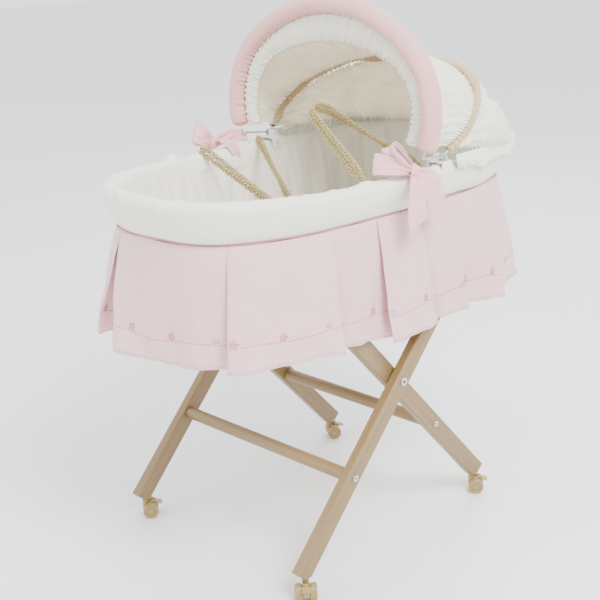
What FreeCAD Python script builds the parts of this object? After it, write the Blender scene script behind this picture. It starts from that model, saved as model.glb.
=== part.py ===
import FreeCAD, Part
import math
import os
import Sketcher
from FreeCAD import Placement, Rotation, Vector

# Moses basket with a folding hood, carried on a folding wooden X-stand with four braked castors.
# Millimetres. +X to the head end under the hood, +Z up. The origin is on the floor, below the
# middle of the basket. "Near" is the -Y side and "far" the +Y side.

doc = FreeCAD.newDocument("moses_basket")
dims = doc.addObject("Spreadsheet::Sheet", "Dims")
parts = []

SIZES = {
    # stand
    "stand_shift": -38, "stem_spread": 510, "pivot_height": 326, "foot_height": 39, "stem_inset": 11,
    "leg_width": 35, "leg_thick": 20, "leg_edge": 4, "leg_top_height": 490, "inner_leg_gap": 378,
    "rail_radius": 12, "outer_rail_height": 184, "inner_rail_height": 195, "top_rail_height": 467,
    "rail_clearance": 0.2, "screw_radius": 3, "screw_head_radius": 6, "screw_head": 2.6,
    "screw_depth": 30, "bolt_radius": 4, "bolt_head_radius": 8, "washer_radius": 11, "washer_thick": 3,
    "nut_thick": 7, "running_gap": 0.05, "strap_width": 25, "strap_thick": 1.4, "strap_offset": 95,
    # castors
    "wheel_radius": 15, "wheel_width": 12.5, "wheel_edge": 2, "axle_radius": 2, "axle_height": 15,
    "castor_trail": 10, "housing_width": 13, "housing_radius": 12.5, "hub_radius": 6,
    "side_gap": 0.5, "stem_radius": 3, "socket_radius": 5, "socket_depth": 22, "flange_radius": 7,
    "flange_thick": 1.2, "stem_reach": 10, "ear_length": 7, "ear_thick": 2, "ear_height": 12,
    "ear_lift": 6.5, "ear_inset": 0.2, "brake_back": 5, "brake_lift": 15, "brake_tilt": 12,
    "brake_pin_radius": 1.5, "barrel_radius": 2.4, "neck_length": 8, "paddle_back": 10.5,
    "paddle_length": 12, "paddle_drop": 1.1, "tab_width": 16, "tab_thick": 2.4,
    # basket
    "base_length": 744, "base_width": 332, "mouth_length": 828, "mouth_width": 434,
    "basket_depth": 211, "wall_thick": 7, "floor_thick": 8, "rest_gap": 0.3, "soft_gap": 0.4,
    "lining_thick": 8, "band_drop": 53, "band_foot": 5, "band_head": 9, "cap_height": 13.5,
    "mattress_thick": 35, "mattress_gap": 3, "coverlet_thick": 42, "coverlet_gap": 3,
    "piping_size": 4, "skirt_drop": 205, "skirt_flare_x": 48, "skirt_flare_y": 48, "cloth_thick": 3,
    # hood
    "hood_pivot_x": 86, "hood_pivot_rise": 10, "arch_base_x": 22, "arch_lean": 3.4,
    "arch_width": 484, "arch_shoulder": 150, "arch_rise": 69, "arch_height": 254, "pad_radius": 20,
    "pad_start": 13, "bow_radius": 2.5, "eye_radius": 6, "eye_thick": 3, "eye_pitch": 8,
    "mid_angle": 40, "mid_reach": 225, "mid_shoulder": 150, "casing_radius": 7, "pin_radius": 2,
    "hem_reach": 341, "hem_half_width": 228, "ruffle_depth": 34, "ruffle_start": 46, "panel_gap": 4,
    "clip_length": 26, "clip_cheek": 3, "clip_gap": 2.6, "clip_drop": 22, "clip_slot": 5,
    "boss_length": 12, "rivet_radius": 4, "rivet_thick": 1.6,
    # handles and bows
    "handle_span": 150, "handle_middle": -36, "near_handle_length": 185, "far_handle_length": 190,
    "near_handle_angle": 31, "far_handle_angle": -27.5, "near_handle_skew": -11, "far_handle_skew": -30,
    "handle_thick": 7, "handle_width": 24, "handle_tip_radius": 26, "handle_root": 14,
    "handle_hinge_y": 197, "handle_hinge_rise": 4, "handle_eye_radius": 3.5, "near_bow_x": -8,
    "far_bow_x": -48, "knot_radius": 13, "tail_width": 42, "tail_length": 105, "tail_thick": 4,
    "tail_spread": 4.4, "loop_length": 84, "loop_width": 34, "loop_thick": 18,
}


def fill_sheet():
    for row, (name, number) in enumerate(SIZES.items(), start=1):
        dims.set("A%d" % row, name)
        dims.set("B%d" % row, str(number))
        dims.setAlias("B%d" % row, name)
    doc.recompute()


def size(name):
    return float(dims.get(name))


fill_sheet()


# Binding helpers: an expression names sheet cells as D.name -------------------------------------

def bind(thing, **expressions):
    for name, expression in expressions.items():
        thing.setExpression(name, expression.replace("D.", "Dims."))
    return thing


def place(thing, x="0", y="0", z="0", axis=None, angle=None):
    if axis is not None:
        thing.Placement = Placement(Vector(), Rotation(Vector(*axis), 1))
        bind(thing, **{"Placement.Rotation.Angle": angle})
    return bind(thing, **{"Placement.Base.x": x, "Placement.Base.y": y, "Placement.Base.z": z})


def primitive(kind, name, **expressions):
    return bind(doc.addObject("Part::" + kind, name), **expressions)


def cut(name, base, tools):
    result = base
    for number, tool in enumerate(tools):
        step = doc.addObject("Part::Cut", "%s_cut%d" % (name, number))
        step.Base = result
        step.Tool = tool
        result = step
    return result


def join(name, pieces):
    whole = doc.addObject("Part::MultiFuse", name + "_whole")
    whole.Shapes = pieces
    return whole


def keep(thing, label):
    thing.Label = label
    parts.append(thing)
    return thing


def shaped(label, shape):
    thing = doc.addObject("Part::Feature", label)
    thing.Shape = shape
    return keep(thing, label)


# Stand places, as expressions -------------------------------------------------------------------

HALF_SPREAD = "(D.stem_spread / 2)"
RISE = "(D.pivot_height - D.foot_height)"
REACH = "sqrt(%s^2 + %s^2)" % (HALF_SPREAD, RISE)
LEAN = "(atan(%s / %s) + asin(D.stem_inset / %s))" % (HALF_SPREAD, RISE, REACH)
INNER_Y = "(D.inner_leg_gap / 2 + D.leg_thick / 2)"
OUTER_Y = "(D.inner_leg_gap / 2 + D.leg_thick * 1.5 + D.washer_thick)"
LEG_FOOT = "sqrt(%s^2 - D.stem_inset^2)" % REACH
TOE = "((D.leg_width / 2 - D.stem_inset) * tan(%s))" % LEAN


def along(height):
    return "((%s - D.pivot_height) / cos(%s))" % (height, LEAN)


def lean():
    half, rise = size("stem_spread") / 2, size("pivot_height") - size("foot_height")
    return math.atan(half / rise) + math.asin(size("stem_inset") / math.hypot(half, rise))


def polygon(body, name, role, corners):
    sketch = body.newObject("Sketcher::SketchObject", name)
    plane = [item for item in body.Origin.OriginFeatures if item.Role == role][0]
    sketch.AttachmentSupport = (plane, "")
    sketch.MapMode = "FlatFace"
    count = len(corners)
    for number in range(count):
        angle = 2 * math.pi * number / count
        turn = 2 * math.pi * (number + 1) / count
        first = Vector(50 * math.cos(angle), 50 * math.sin(angle), 0)
        second = Vector(50 * math.cos(turn), 50 * math.sin(turn), 0)
        sketch.addGeometry(Part.LineSegment(first, second))
    for number in range(count):
        sketch.addConstraint(Sketcher.Constraint("Coincident", number, 2, (number + 1) % count, 1))
    for number, (across, up) in enumerate(corners):
        for direction, expression in (("DistanceX", across), ("DistanceY", up)):
            index = sketch.addConstraint(Sketcher.Constraint(direction, -1, 1, number, 1, 10.0 + number))
            bind(sketch, **{"Constraints[%d]" % index: expression})
    return sketch


def pad(body, name, sketch, thickness):
    feature = body.newObject("PartDesign::Pad", name)
    feature.Profile = sketch
    feature.SideType = "Symmetric"
    bind(feature, Length=thickness)
    return feature


def leg(label, side, middle_y):
    """A leg drawn upright on its pivot; side is +1 on the outer frame and -1 on the inner one."""
    mark = "" if side > 0 else "-"
    half = "D.leg_width / 2"
    foot = "(-%s - %s)" % (LEG_FOOT, TOE)
    corners = [
        ("%s(-%s)" % (mark, half), along("D.leg_top_height")),
        ("%s(%s)" % (mark, half), along("D.leg_top_height")),
        ("%s(%s)" % (mark, half), "-%s + %s" % (LEG_FOOT, TOE)),
        ("%s(2 * D.stem_inset - %s)" % (mark, half), foot),
        ("%s(-%s)" % (mark, half), foot),
    ]
    body = doc.addObject("PartDesign::Body", label + "_body")
    sketch = polygon(body, label + "_outline", "XZ_Plane", corners)
    blank = pad(body, label + "_blank", sketch, "D.leg_thick")
    doc.recompute()
    long_edges = [
        "Edge%d" % number
        for number, edge in enumerate(blank.Shape.Edges, start=1)
        if edge.Length > 3 * size("leg_width")
    ]
    rounded = body.newObject("PartDesign::Fillet", label + "_rounded")
    rounded.Base = (blank, long_edges)
    bind(rounded, Radius="D.leg_edge")
    body.Tip = rounded
    rail = "D.outer_rail_height" if side > 0 else "D.inner_rail_height"
    drills = [
        drill(label + "_pivot_drill", "D.bolt_radius + D.running_gap", "0"),
        drill(label + "_low_drill", "D.screw_radius + D.running_gap", along(rail)),
        drill(label + "_top_drill", "D.screw_radius + D.running_gap", along("D.top_rail_height")),
    ]
    upright = cut(label, body, drills)
    leaning = doc.addObject("Part::Compound", label + "_leaning")
    leaning.Links = [upright]
    place(leaning, "D.stand_shift", middle_y, "D.pivot_height", (0, 1, 0), "%s(%s)" % (mark, LEAN))
    socket = primitive("Cylinder", label + "_socket_hole", Radius="D.socket_radius + D.running_gap",
                       Height="D.socket_depth + 40")
    place(socket, stem_x(side), middle_y, "D.foot_height - 40")
    return keep(cut(label + "_socket", leaning, [socket]), label)


def drill(name, radius, height):
    tool = primitive("Cylinder", name, Radius=radius, Height="D.leg_thick * 3")
    return place(tool, "0", "D.leg_thick * 1.5", height, (1, 0, 0), "90 deg")


def stem_x(side):
    return "D.stand_shift %s %s" % ("-" if side > 0 else "+", HALF_SPREAD)


def rail_x(side, height):
    return "D.stand_shift %s (%s - D.pivot_height) * tan(%s)" % ("+" if side > 0 else "-", height, LEAN)


def rail(label, side, height, leg_y):
    """A dowel between two legs, drilled at both ends for its screws."""
    span = "(2 * (%s - D.leg_thick / 2 - D.rail_clearance))" % leg_y
    dowel = primitive("Cylinder", label + "_dowel", Radius="D.rail_radius", Height=span)
    place(dowel, rail_x(side, height), span + " / 2", height, (1, 0, 0), "90 deg")
    pilots = []
    for end, sign in (("near", "-"), ("far", "")):
        pilot = primitive("Cylinder", "%s_%s_pilot" % (label, end), Height="2 * D.screw_depth",
                          Radius="D.screw_radius + D.running_gap")
        middle = "%s(%s / 2) + D.screw_depth" % (sign, span)
        pilots.append(place(pilot, rail_x(side, height), middle, height, (1, 0, 0), "90 deg"))
    return keep(cut(label, dowel, pilots), label)


def screws(label, side, heights, leg_y):
    """Hexagon-socket screws through the legs into the ends of the rails."""
    pieces = []
    for row, height in enumerate(heights):
        for end, sign, turn in (("near", "-", "-90 deg"), ("far", "", "90 deg")):
            name = "%s_%s%d" % (label, end, row)
            outside = "%s(%s + D.leg_thick / 2)" % (sign, leg_y)
            shank = primitive("Cylinder", name + "_shank", Radius="D.screw_radius",
                              Height="D.leg_thick + D.screw_depth - 2")
            place(shank, rail_x(side, height), outside, height, (1, 0, 0), turn)
            head = primitive("Cylinder", name + "_head", Radius="D.screw_head_radius", Height="D.screw_head")
            lift = "%s(%s + D.leg_thick / 2 + D.screw_head)" % (sign, leg_y)
            place(head, rail_x(side, height), lift, height, (1, 0, 0), turn)
            key = primitive("Prism", name + "_key", Polygon="6", Circumradius="D.screw_radius * 0.75",
                            Height="D.screw_head * 1.6")
            place(key, rail_x(side, height), lift, height, (1, 0, 0), turn)
            pieces.append(cut(name, join(name, [shank, head]), [key]))
    group = doc.addObject("Part::Compound", label)
    group.Links = pieces
    return keep(group, label)


def pivot_hardware():
    bolts, nuts, washers = [], [], []
    for end, sign, turn in (("near", "-", "-90 deg"), ("far", "", "90 deg")):
        outside = "(%s + D.leg_thick / 2)" % OUTER_Y
        inside = "(D.inner_leg_gap / 2)"
        shank = primitive("Cylinder", "bolt_%s_shank" % end, Radius="D.bolt_radius",
                          Height="%s - %s + D.nut_thick - 1" % (outside, inside))
        place(shank, "D.stand_shift", sign + outside, "D.pivot_height", (1, 0, 0), turn)
        head = primitive("Cylinder", "bolt_%s_head" % end, Radius="D.bolt_head_radius", Height="D.screw_head")
        lift = "%s(%s + D.screw_head)" % (sign, outside)
        place(head, "D.stand_shift", lift, "D.pivot_height", (1, 0, 0), turn)
        key = primitive("Prism", "bolt_%s_key" % end, Polygon="6", Circumradius="D.bolt_radius * 0.8",
                        Height="D.screw_head * 1.6")
        place(key, "D.stand_shift", lift, "D.pivot_height", (1, 0, 0), turn)
        bolts.append(cut("bolt_" + end, join("bolt_" + end, [shank, head]), [key]))
        nut = primitive("Prism", "nut_" + end, Polygon="6", Circumradius="D.bolt_radius * 1.8",
                        Height="D.nut_thick")
        start = "%s(%s - D.running_gap * 4)" % (sign, inside)
        place(nut, "D.stand_shift", start, "D.pivot_height", (1, 0, 0), turn)
        bore = primitive("Cylinder", "nut_%s_bore" % end, Radius="D.bolt_radius + D.running_gap",
                         Height="D.nut_thick")
        place(bore, "D.stand_shift", start, "D.pivot_height", (1, 0, 0), turn)
        nuts.append(cut("nut_" + end, nut, [bore]))
        disc = primitive("Cylinder", "washer_%s_disc" % end, Radius="D.washer_radius",
                         Height="D.washer_thick - 4 * D.running_gap")
        face = "%s(%s + D.leg_thick / 2 + D.washer_thick - 2 * D.running_gap)" % (sign, INNER_Y)
        place(disc, "D.stand_shift", face, "D.pivot_height", (1, 0, 0), turn)
        hole = primitive("Cylinder", "washer_%s_hole" % end, Radius="D.bolt_radius + D.running_gap",
                         Height="D.washer_thick")
        place(hole, "D.stand_shift", face, "D.pivot_height", (1, 0, 0), turn)
        washers.append(cut("washer_" + end, disc, [hole]))
    for label, pieces in (("pivot_bolts", bolts), ("pivot_nuts", nuts), ("pivot_washers", washers)):
        group = doc.addObject("Part::Compound", label)
        group.Links = pieces
        keep(group, label)


def stop_straps():
    """Two webbing straps that hold the top rails apart when the stand is open."""
    pieces = []
    reach = "((D.top_rail_height - D.pivot_height) * tan(%s) - D.rail_radius - 2 * D.rail_clearance)" % LEAN
    for end, sign in (("near", "-"), ("far", "")):
        strap = primitive("Box", "strap_" + end, Length="2 * " + reach, Width="D.strap_width",
                          Height="D.strap_thick")
        place(strap, "D.stand_shift - " + reach, "%sD.strap_offset - D.strap_width / 2" % sign,
              "D.top_rail_height - D.strap_thick / 2")
        pieces.append(strap)
    group = doc.addObject("Part::Compound", "stop_straps")
    group.Links = pieces
    keep(group, "stop_straps")


for far, sign in (("near", "-"), ("far", "")):
    leg("outer_leg_" + far, 1, sign + OUTER_Y)
    leg("inner_leg_" + far, -1, sign + INNER_Y)
rail("outer_low_rail", 1, "D.outer_rail_height", OUTER_Y)
rail("outer_top_rail", 1, "D.top_rail_height", OUTER_Y)
rail("inner_low_rail", -1, "D.inner_rail_height", INNER_Y)
rail("inner_top_rail", -1, "D.top_rail_height", INNER_Y)
screws("outer_screws", 1, ["D.outer_rail_height", "D.top_rail_height"], OUTER_Y)
screws("inner_screws", -1, ["D.inner_rail_height", "D.top_rail_height"], INNER_Y)
pivot_hardware()
stop_straps()


# Castors: built with the stem on the origin's Z axis and trailing to +X, then turned and placed ----

def castor(corner, side, leg_y, heading):
    """Twin-wheel castor: socket and stem in the leg, swivelling housing, wheels on an axle, brake."""

    def settle(thing, label):
        holder = doc.addObject("Part::Compound", label + "_holder")
        holder.Links = [thing]
        place(holder, stem_x(side), leg_y, "0", (0, 0, 1), "%s deg" % heading)
        return keep(holder, label)

    def crosswise(name, radius, length, x, z):
        rod = primitive("Cylinder", name, Radius=radius, Height=length)
        return place(rod, x, "(%s) / 2" % length, z, (1, 0, 0), "90 deg")

    def upright(name, radius, low, high):
        rod = primitive("Cylinder", name, Radius=radius, Height="(%s) - (%s)" % (high, low))
        return place(rod, "0", "0", low)

    tag = corner + "_"
    brake_x = "D.castor_trail + D.brake_back"
    brake_z = "D.axle_height + D.brake_lift"
    between_ears = "(D.housing_width - 2 * D.ear_thick - 2 * D.side_gap)"
    hub_top = "(D.foot_height - D.flange_thick - 6 * D.running_gap)"
    stem_low = "(D.foot_height - D.flange_thick - D.stem_reach)"
    flange = upright(tag + "flange", "D.flange_radius", "D.foot_height - D.flange_thick", "D.foot_height")
    sleeve = upright(tag + "sleeve", "D.socket_radius", "D.foot_height - D.flange_thick",
                     "D.foot_height + D.socket_depth - 1")
    bore = upright(tag + "bore", "D.stem_radius + D.running_gap", "D.foot_height - 2 * D.flange_thick",
                   "D.foot_height + D.socket_depth - 3")
    settle(cut(tag + "socket", join(tag + "socket", [flange, sleeve]), [bore]), "socket_" + corner)
    stem = upright(tag + "rod", "D.stem_radius", stem_low, "D.foot_height + D.socket_depth - 4")
    settle(stem, "stem_" + corner)

    cheek = crosswise(tag + "cheek", "D.housing_radius", "D.housing_width", "D.castor_trail", "D.axle_height")
    hub = upright(tag + "hub", "D.hub_radius", "D.axle_height", hub_top)
    ears = []
    for end, shift in (("left", "D.ear_inset - D.housing_width / 2"),
                       ("right", "D.housing_width / 2 - D.ear_thick - D.ear_inset")):
        ear = primitive("Box", tag + "ear_" + end, Length="D.ear_length", Width="D.ear_thick",
                        Height="D.ear_height")
        ears.append(place(ear, "D.castor_trail + D.brake_back - D.ear_length / 2", shift,
                          "D.axle_height + D.ear_lift"))
    body = join(tag + "housing", [cheek, hub] + ears)
    stem_hole = upright(tag + "stem_hole", "D.stem_radius + D.running_gap", stem_low + " - 0.5",
                        "D.foot_height + 5")
    axle_hole = crosswise(tag + "axle_hole", "D.axle_radius + D.running_gap", "3 * D.housing_width",
                          "D.castor_trail", "D.axle_height")
    pin_hole = crosswise(tag + "pin_hole", "D.brake_pin_radius + D.running_gap", "3 * D.housing_width",
                         brake_x, brake_z)
    settle(cut(tag + "housing", body, [stem_hole, axle_hole, pin_hole]), "housing_" + corner)

    discs = []
    for end, shift in (("left", "-"), ("right", "")):
        disc = primitive("Cylinder", tag + "disc_" + end, Radius="D.wheel_radius", Height="D.wheel_width")
        edge = "(D.housing_width / 2 + D.side_gap)"
        far_face = edge + " + D.wheel_width" if end == "right" else "-" + edge
        place(disc, "D.castor_trail", far_face, "D.axle_height", (1, 0, 0), "90 deg")
        hole = crosswise(tag + "hole_" + end, "D.axle_radius + D.running_gap", "6 * D.wheel_width",
                         "D.castor_trail", "D.axle_height")
        bored = cut(tag + "disc_" + end, disc, [hole])
        doc.recompute()
        rounded = doc.addObject("Part::Fillet", tag + "tyre_" + end)
        rounded.Base = bored
        rims = [
            number
            for number, item in enumerate(bored.Shape.Edges, start=1)
            if abs(item.Length - 2 * math.pi * size("wheel_radius")) < 0.01
        ]
        rounded.Edges = [(number, size("wheel_edge"), size("wheel_edge")) for number in rims]
        discs.append(rounded)
    pair = doc.addObject("Part::Compound", tag + "wheels")
    pair.Links = discs
    settle(pair, "wheels_" + corner)
    axle = crosswise(tag + "axle", "D.axle_radius",
                     "D.housing_width + 2 * D.side_gap + 2 * D.wheel_width - D.wheel_edge",
                     "D.castor_trail", "D.axle_height")
    settle(axle, "axle_" + corner)

    barrel = crosswise(tag + "barrel", "D.barrel_radius", between_ears, brake_x, brake_z)
    pin = crosswise(tag + "brake_pin", "D.brake_pin_radius", "D.housing_width - 2 * D.ear_inset",
                    brake_x, brake_z)
    neck = primitive("Box", tag + "neck", Length="D.neck_length", Width=between_ears, Height="D.tab_thick")
    place(neck, brake_x, "-%s / 2" % between_ears, brake_z + " - D.tab_thick / 2", (0, 1, 0),
          "D.brake_tilt * 1 deg")
    paddle = primitive("Box", tag + "paddle", Length="D.paddle_length", Width="D.tab_width",
                       Height="D.tab_thick")
    place(paddle, "D.castor_trail + D.paddle_back", "-D.tab_width / 2",
          brake_z + " - D.paddle_drop - D.tab_thick / 2", (0, 1, 0), "D.brake_tilt * 1 deg")
    settle(join(tag + "brake", [barrel, pin, neck, paddle]), "brake_" + corner)


castor("outer_near", 1, "-" + OUTER_Y, 228)
castor("outer_far", 1, OUTER_Y, -38)
castor("inner_near", -1, "-" + INNER_Y, -52)
castor("inner_far", -1, INNER_Y, -35)


# Basket: ovals of one family, so that every layer keeps its distance from the next --------------

OVAL_POWER = 2 / 3
OVAL_POINTS = 32


def oval(length, width, z):
    points = []
    for number in range(OVAL_POINTS):
        angle = 2 * math.pi * number / OVAL_POINTS
        x = math.copysign(abs(math.cos(angle)) ** OVAL_POWER, math.cos(angle)) * length / 2
        y = math.copysign(abs(math.sin(angle)) ** OVAL_POWER, math.sin(angle)) * width / 2
        points.append(Vector(x, y, z))
    curve = Part.BSplineCurve()
    curve.interpolate(points, PeriodicFlag=True)
    return Part.Wire(curve.toShape())


def tub(*ovals):
    """Solid between ovals given as (length, width, z), from the lowest up."""
    return Part.makeLoft([oval(*item) for item in ovals], True, True)


FLOOR = size("top_rail_height") + size("rail_radius") + size("rest_gap")
MOUTH = FLOOR + size("basket_depth")
SEAM = MOUTH - size("band_drop")
CAP_TOP = MOUTH + size("soft_gap") + size("cap_height")


def wall(z, inset=0.0):
    """Length, width and height of the woven wall's outside at z, moved in by inset."""
    share = (z - FLOOR) / size("basket_depth")
    length = size("base_length") + share * (size("mouth_length") - size("base_length"))
    width = size("base_width") + share * (size("mouth_width") - size("base_width"))
    return length - 2 * inset, width - 2 * inset, z


def build_basket():
    thick, gap = size("wall_thick"), size("soft_gap")
    outside = tub(wall(FLOOR), wall(MOUTH))
    inside = tub(wall(FLOOR + size("floor_thick"), thick), wall(MOUTH + 5, thick))
    shaped("basket_shell", outside.cut(inside))

    lining = size("lining_thick")
    cap_bottom = MOUTH + gap
    band_out = tub(wall(SEAM, -gap - size("band_foot")), wall(cap_bottom, -gap - size("band_head")),
                   wall(CAP_TOP - 6, -gap - size("band_head")), wall(CAP_TOP, 3))
    band_in = tub(wall(SEAM - 1, -gap), wall(cap_bottom, -gap))
    throat = tub(wall(cap_bottom - 1, thick + gap + lining), wall(CAP_TOP - 5, thick + gap + lining),
                 wall(CAP_TOP + 1, thick + gap))
    shaped("rim_band", band_out.cut(band_in).cut(throat))

    bed = FLOOR + size("floor_thick") + gap
    quilt = bed + size("mattress_thick") + gap
    lining_out = tub(wall(quilt, thick + gap), wall(MOUTH, thick + gap))
    lining_in = tub(wall(quilt - 1, thick + gap + lining), wall(MOUTH + 1, thick + gap + lining))
    shaped("lining", lining_out.cut(lining_in))

    length, width, _ = wall(bed, thick + size("mattress_gap"))
    shaped("mattress", tub((length, width, bed), (length, width, bed + size("mattress_thick"))))
    length, width, _ = wall(quilt, thick + gap + lining + size("coverlet_gap"))
    shaped("coverlet", tub((length, width, quilt), (length, width, quilt + size("coverlet_thick"))))

    cord = size("piping_size")
    low = SEAM - gap - cord
    ring = tub(wall(low, -gap - cord - 1), wall(low + cord, -gap - cord - 1))
    shaped("piping", ring.cut(tub(wall(low - 1, -gap - 1), wall(low + cord + 1, -gap - 1))))

    top = low - gap
    hem = top - size("skirt_drop")
    cloth = size("cloth_thick")
    length, width, _ = wall(top, -gap - size("band_foot"))
    spread_x, spread_y = length + 2 * size("skirt_flare_x"), width + 2 * size("skirt_flare_y")
    skirt_out = tub((spread_x, spread_y, hem), (length, width, top))
    skirt_in = tub((spread_x - 2 * cloth, spread_y - 2 * cloth, hem),
                   (length - 2 * cloth, width - 2 * cloth, top))
    shaped("skirt", skirt_out.cut(skirt_in))


build_basket()


# Hood: two sprung-wire bows that fold back on one pair of pins, with cloth between them ---------

PIVOT_X = size("hood_pivot_x")
PIVOT_Z = CAP_TOP + size("hood_pivot_rise")
ARCH_BASE = size("arch_width") / 2 - size("arch_shoulder") + math.sqrt(
    size("arch_shoulder") ** 2 - size("arch_rise") ** 2)
MID_BASE = ARCH_BASE - size("eye_pitch")
MID_HALF = MID_BASE + size("mid_shoulder") - math.sqrt(size("mid_shoulder") ** 2 - size("arch_rise") ** 2)


def bow_wire(half_width, shoulder, rise, height, start=0.0):
    """Horseshoe of a crown arc and two shoulder arcs, in the XY plane, from the line Y = start up."""
    tall = height - rise
    side = half_width - shoulder
    crown = (side ** 2 + tall ** 2 - shoulder ** 2) / (2 * (tall - shoulder))
    crown_y = height - crown
    turn = math.atan2(side, rise - crown_y)
    dip = -math.asin((rise - start) / shoulder)

    def on_crown(angle):
        return Vector(crown * math.sin(angle), crown_y + crown * math.cos(angle), 0)

    def on_shoulder(angle, sign):
        return Vector(sign * (side + shoulder * math.cos(angle)), rise + shoulder * math.sin(angle), 0)

    reach = math.pi / 2 - turn
    left = Part.Arc(on_shoulder(dip, -1), on_shoulder((dip + reach) / 2, -1), on_shoulder(reach, -1))
    top = Part.Arc(on_shoulder(reach, -1), on_crown(0), on_shoulder(reach, 1))
    right = Part.Arc(on_shoulder(reach, 1), on_shoulder((dip + reach) / 2, 1), on_shoulder(dip, 1))
    return Part.Wire([left.toShape(), top.toShape(), right.toShape()])


def tube_along(path, radius):
    first = path.Edges[0]
    start = first.valueAt(first.FirstParameter)
    direction = first.tangentAt(first.FirstParameter)
    circle = Part.Wire(Part.makeCircle(radius, start, direction))
    return path.makePipeShell([circle], True, False)


def rod(start, end, radius):
    return Part.makeCylinder(radius, (end - start).Length, start, end - start)


def tilted(shape, angle, x, z):
    """Stand a shape drawn in the XY plane on the line (x, z), leaning back from the +X axis by angle."""
    turned = shape.copy()
    up = Vector(math.cos(angle), 0, math.sin(angle))
    across = Vector(0, 1, 0)
    turned.Placement = Placement(Vector(x, 0, z), Rotation(across, up, across.cross(up), "XYZ"))
    return turned


ARCH_ANGLE = math.radians(90 - size("arch_lean"))
ARCH_Z = PIVOT_Z + 8
MID_ANGLE = math.radians(size("mid_angle"))


def eye_pair(middle):
    """The flattened ends of a bow on its two pins."""
    thick, radius = size("eye_thick"), size("eye_radius")
    eyes = []
    for sign in (-1, 1):
        start = Vector(PIVOT_X, sign * middle - thick / 2, PIVOT_Z)
        disc = Part.makeCylinder(radius, thick, start, Vector(0, 1, 0))
        hole = Part.makeCylinder(size("pin_radius") + size("running_gap"), 3 * thick,
                                 start - Vector(0, thick, 0), Vector(0, 1, 0))
        eyes.append((disc, hole))
    return eyes


def build_bows():
    wire = size("bow_radius")
    arch = bow_wire(size("arch_width") / 2, size("arch_shoulder"), size("arch_rise"), size("arch_height"))
    front = tilted(tube_along(arch, wire), ARCH_ANGLE, size("arch_base_x"), ARCH_Z)
    for sign, (disc, hole) in zip((-1, 1), eye_pair(ARCH_BASE)):
        corner = Vector(size("arch_base_x"), sign * ARCH_BASE, ARCH_Z)
        eye = Vector(PIVOT_X, sign * ARCH_BASE, PIVOT_Z)
        link = rod(corner, eye, wire).fuse(Part.makeSphere(wire, corner))
        front = front.fuse(link).fuse(disc).cut(hole)
    shaped("hood_front_bow", front)

    mid = bow_wire(MID_HALF, size("mid_shoulder"), size("arch_rise"), size("mid_reach"))
    middle = tilted(tube_along(mid, wire), MID_ANGLE, PIVOT_X, PIVOT_Z)
    for disc, hole in eye_pair(MID_BASE):
        middle = middle.fuse(disc).cut(hole)
    shaped("hood_mid_bow", middle)

    start = size("pad_start")
    pad_path = bow_wire(size("arch_width") / 2, size("arch_shoulder"), size("arch_rise"),
                        size("arch_height"), start)
    bore_path = bow_wire(size("arch_width") / 2, size("arch_shoulder"), size("arch_rise"),
                         size("arch_height"), start - 3)
    padding = tube_along(pad_path, size("pad_radius")).cut(tube_along(bore_path, wire + size("running_gap")))
    shaped("hood_arch_pad", tilted(padding, ARCH_ANGLE, size("arch_base_x"), ARCH_Z))

    mid_start = 2 * size("eye_radius") + 4
    sleeve = tube_along(bow_wire(MID_HALF, size("mid_shoulder"), size("arch_rise"), size("mid_reach"),
                                 mid_start), size("casing_radius"))
    hollow = tube_along(bow_wire(MID_HALF, size("mid_shoulder"), size("arch_rise"), size("mid_reach"),
                                 mid_start - 3), wire + size("running_gap"))
    shaped("hood_mid_casing", tilted(sleeve.cut(hollow), MID_ANGLE, PIVOT_X, PIVOT_Z))


HOOD_POINTS = 17
HOOD_TURN = math.radians(112)


def horseshoe(half_width, rise, height, angle, x, z, start, power=1.0):
    """One edge of a hood cloth: an open curve in a leaning plane, from the line at start up."""
    points = []
    for number in range(HOOD_POINTS):
        turn = HOOD_TURN * (2 * number / (HOOD_POINTS - 1) - 1)
        across = math.copysign(abs(math.sin(turn)) ** power, turn) * half_width
        low = (rise - start) / -math.cos(HOOD_TURN)
        up = rise + math.cos(turn) * (height - rise if abs(turn) < math.pi / 2 else low)
        points.append(Vector(x + up * math.cos(angle), across, z + up * math.sin(angle)))
    curve = Part.BSplineCurve()
    curve.interpolate(points)
    return curve.toShape()


def cloth_section(half_width, rise, height, angle, x, z, start, power=1.0):
    """Closed thin outline of a hood cloth in one leaning plane."""
    thick = size("cloth_thick")
    outer = horseshoe(half_width, rise, height, angle, x, z, start, power)
    inner = horseshoe(half_width - thick, rise, height - thick, angle, x, z, start, power)
    first = Part.LineSegment(outer.Vertexes[0].Point, inner.Vertexes[0].Point).toShape()
    last = Part.LineSegment(inner.Vertexes[-1].Point, outer.Vertexes[-1].Point).toShape()
    return Part.Wire([outer, last, inner, first])


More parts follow.
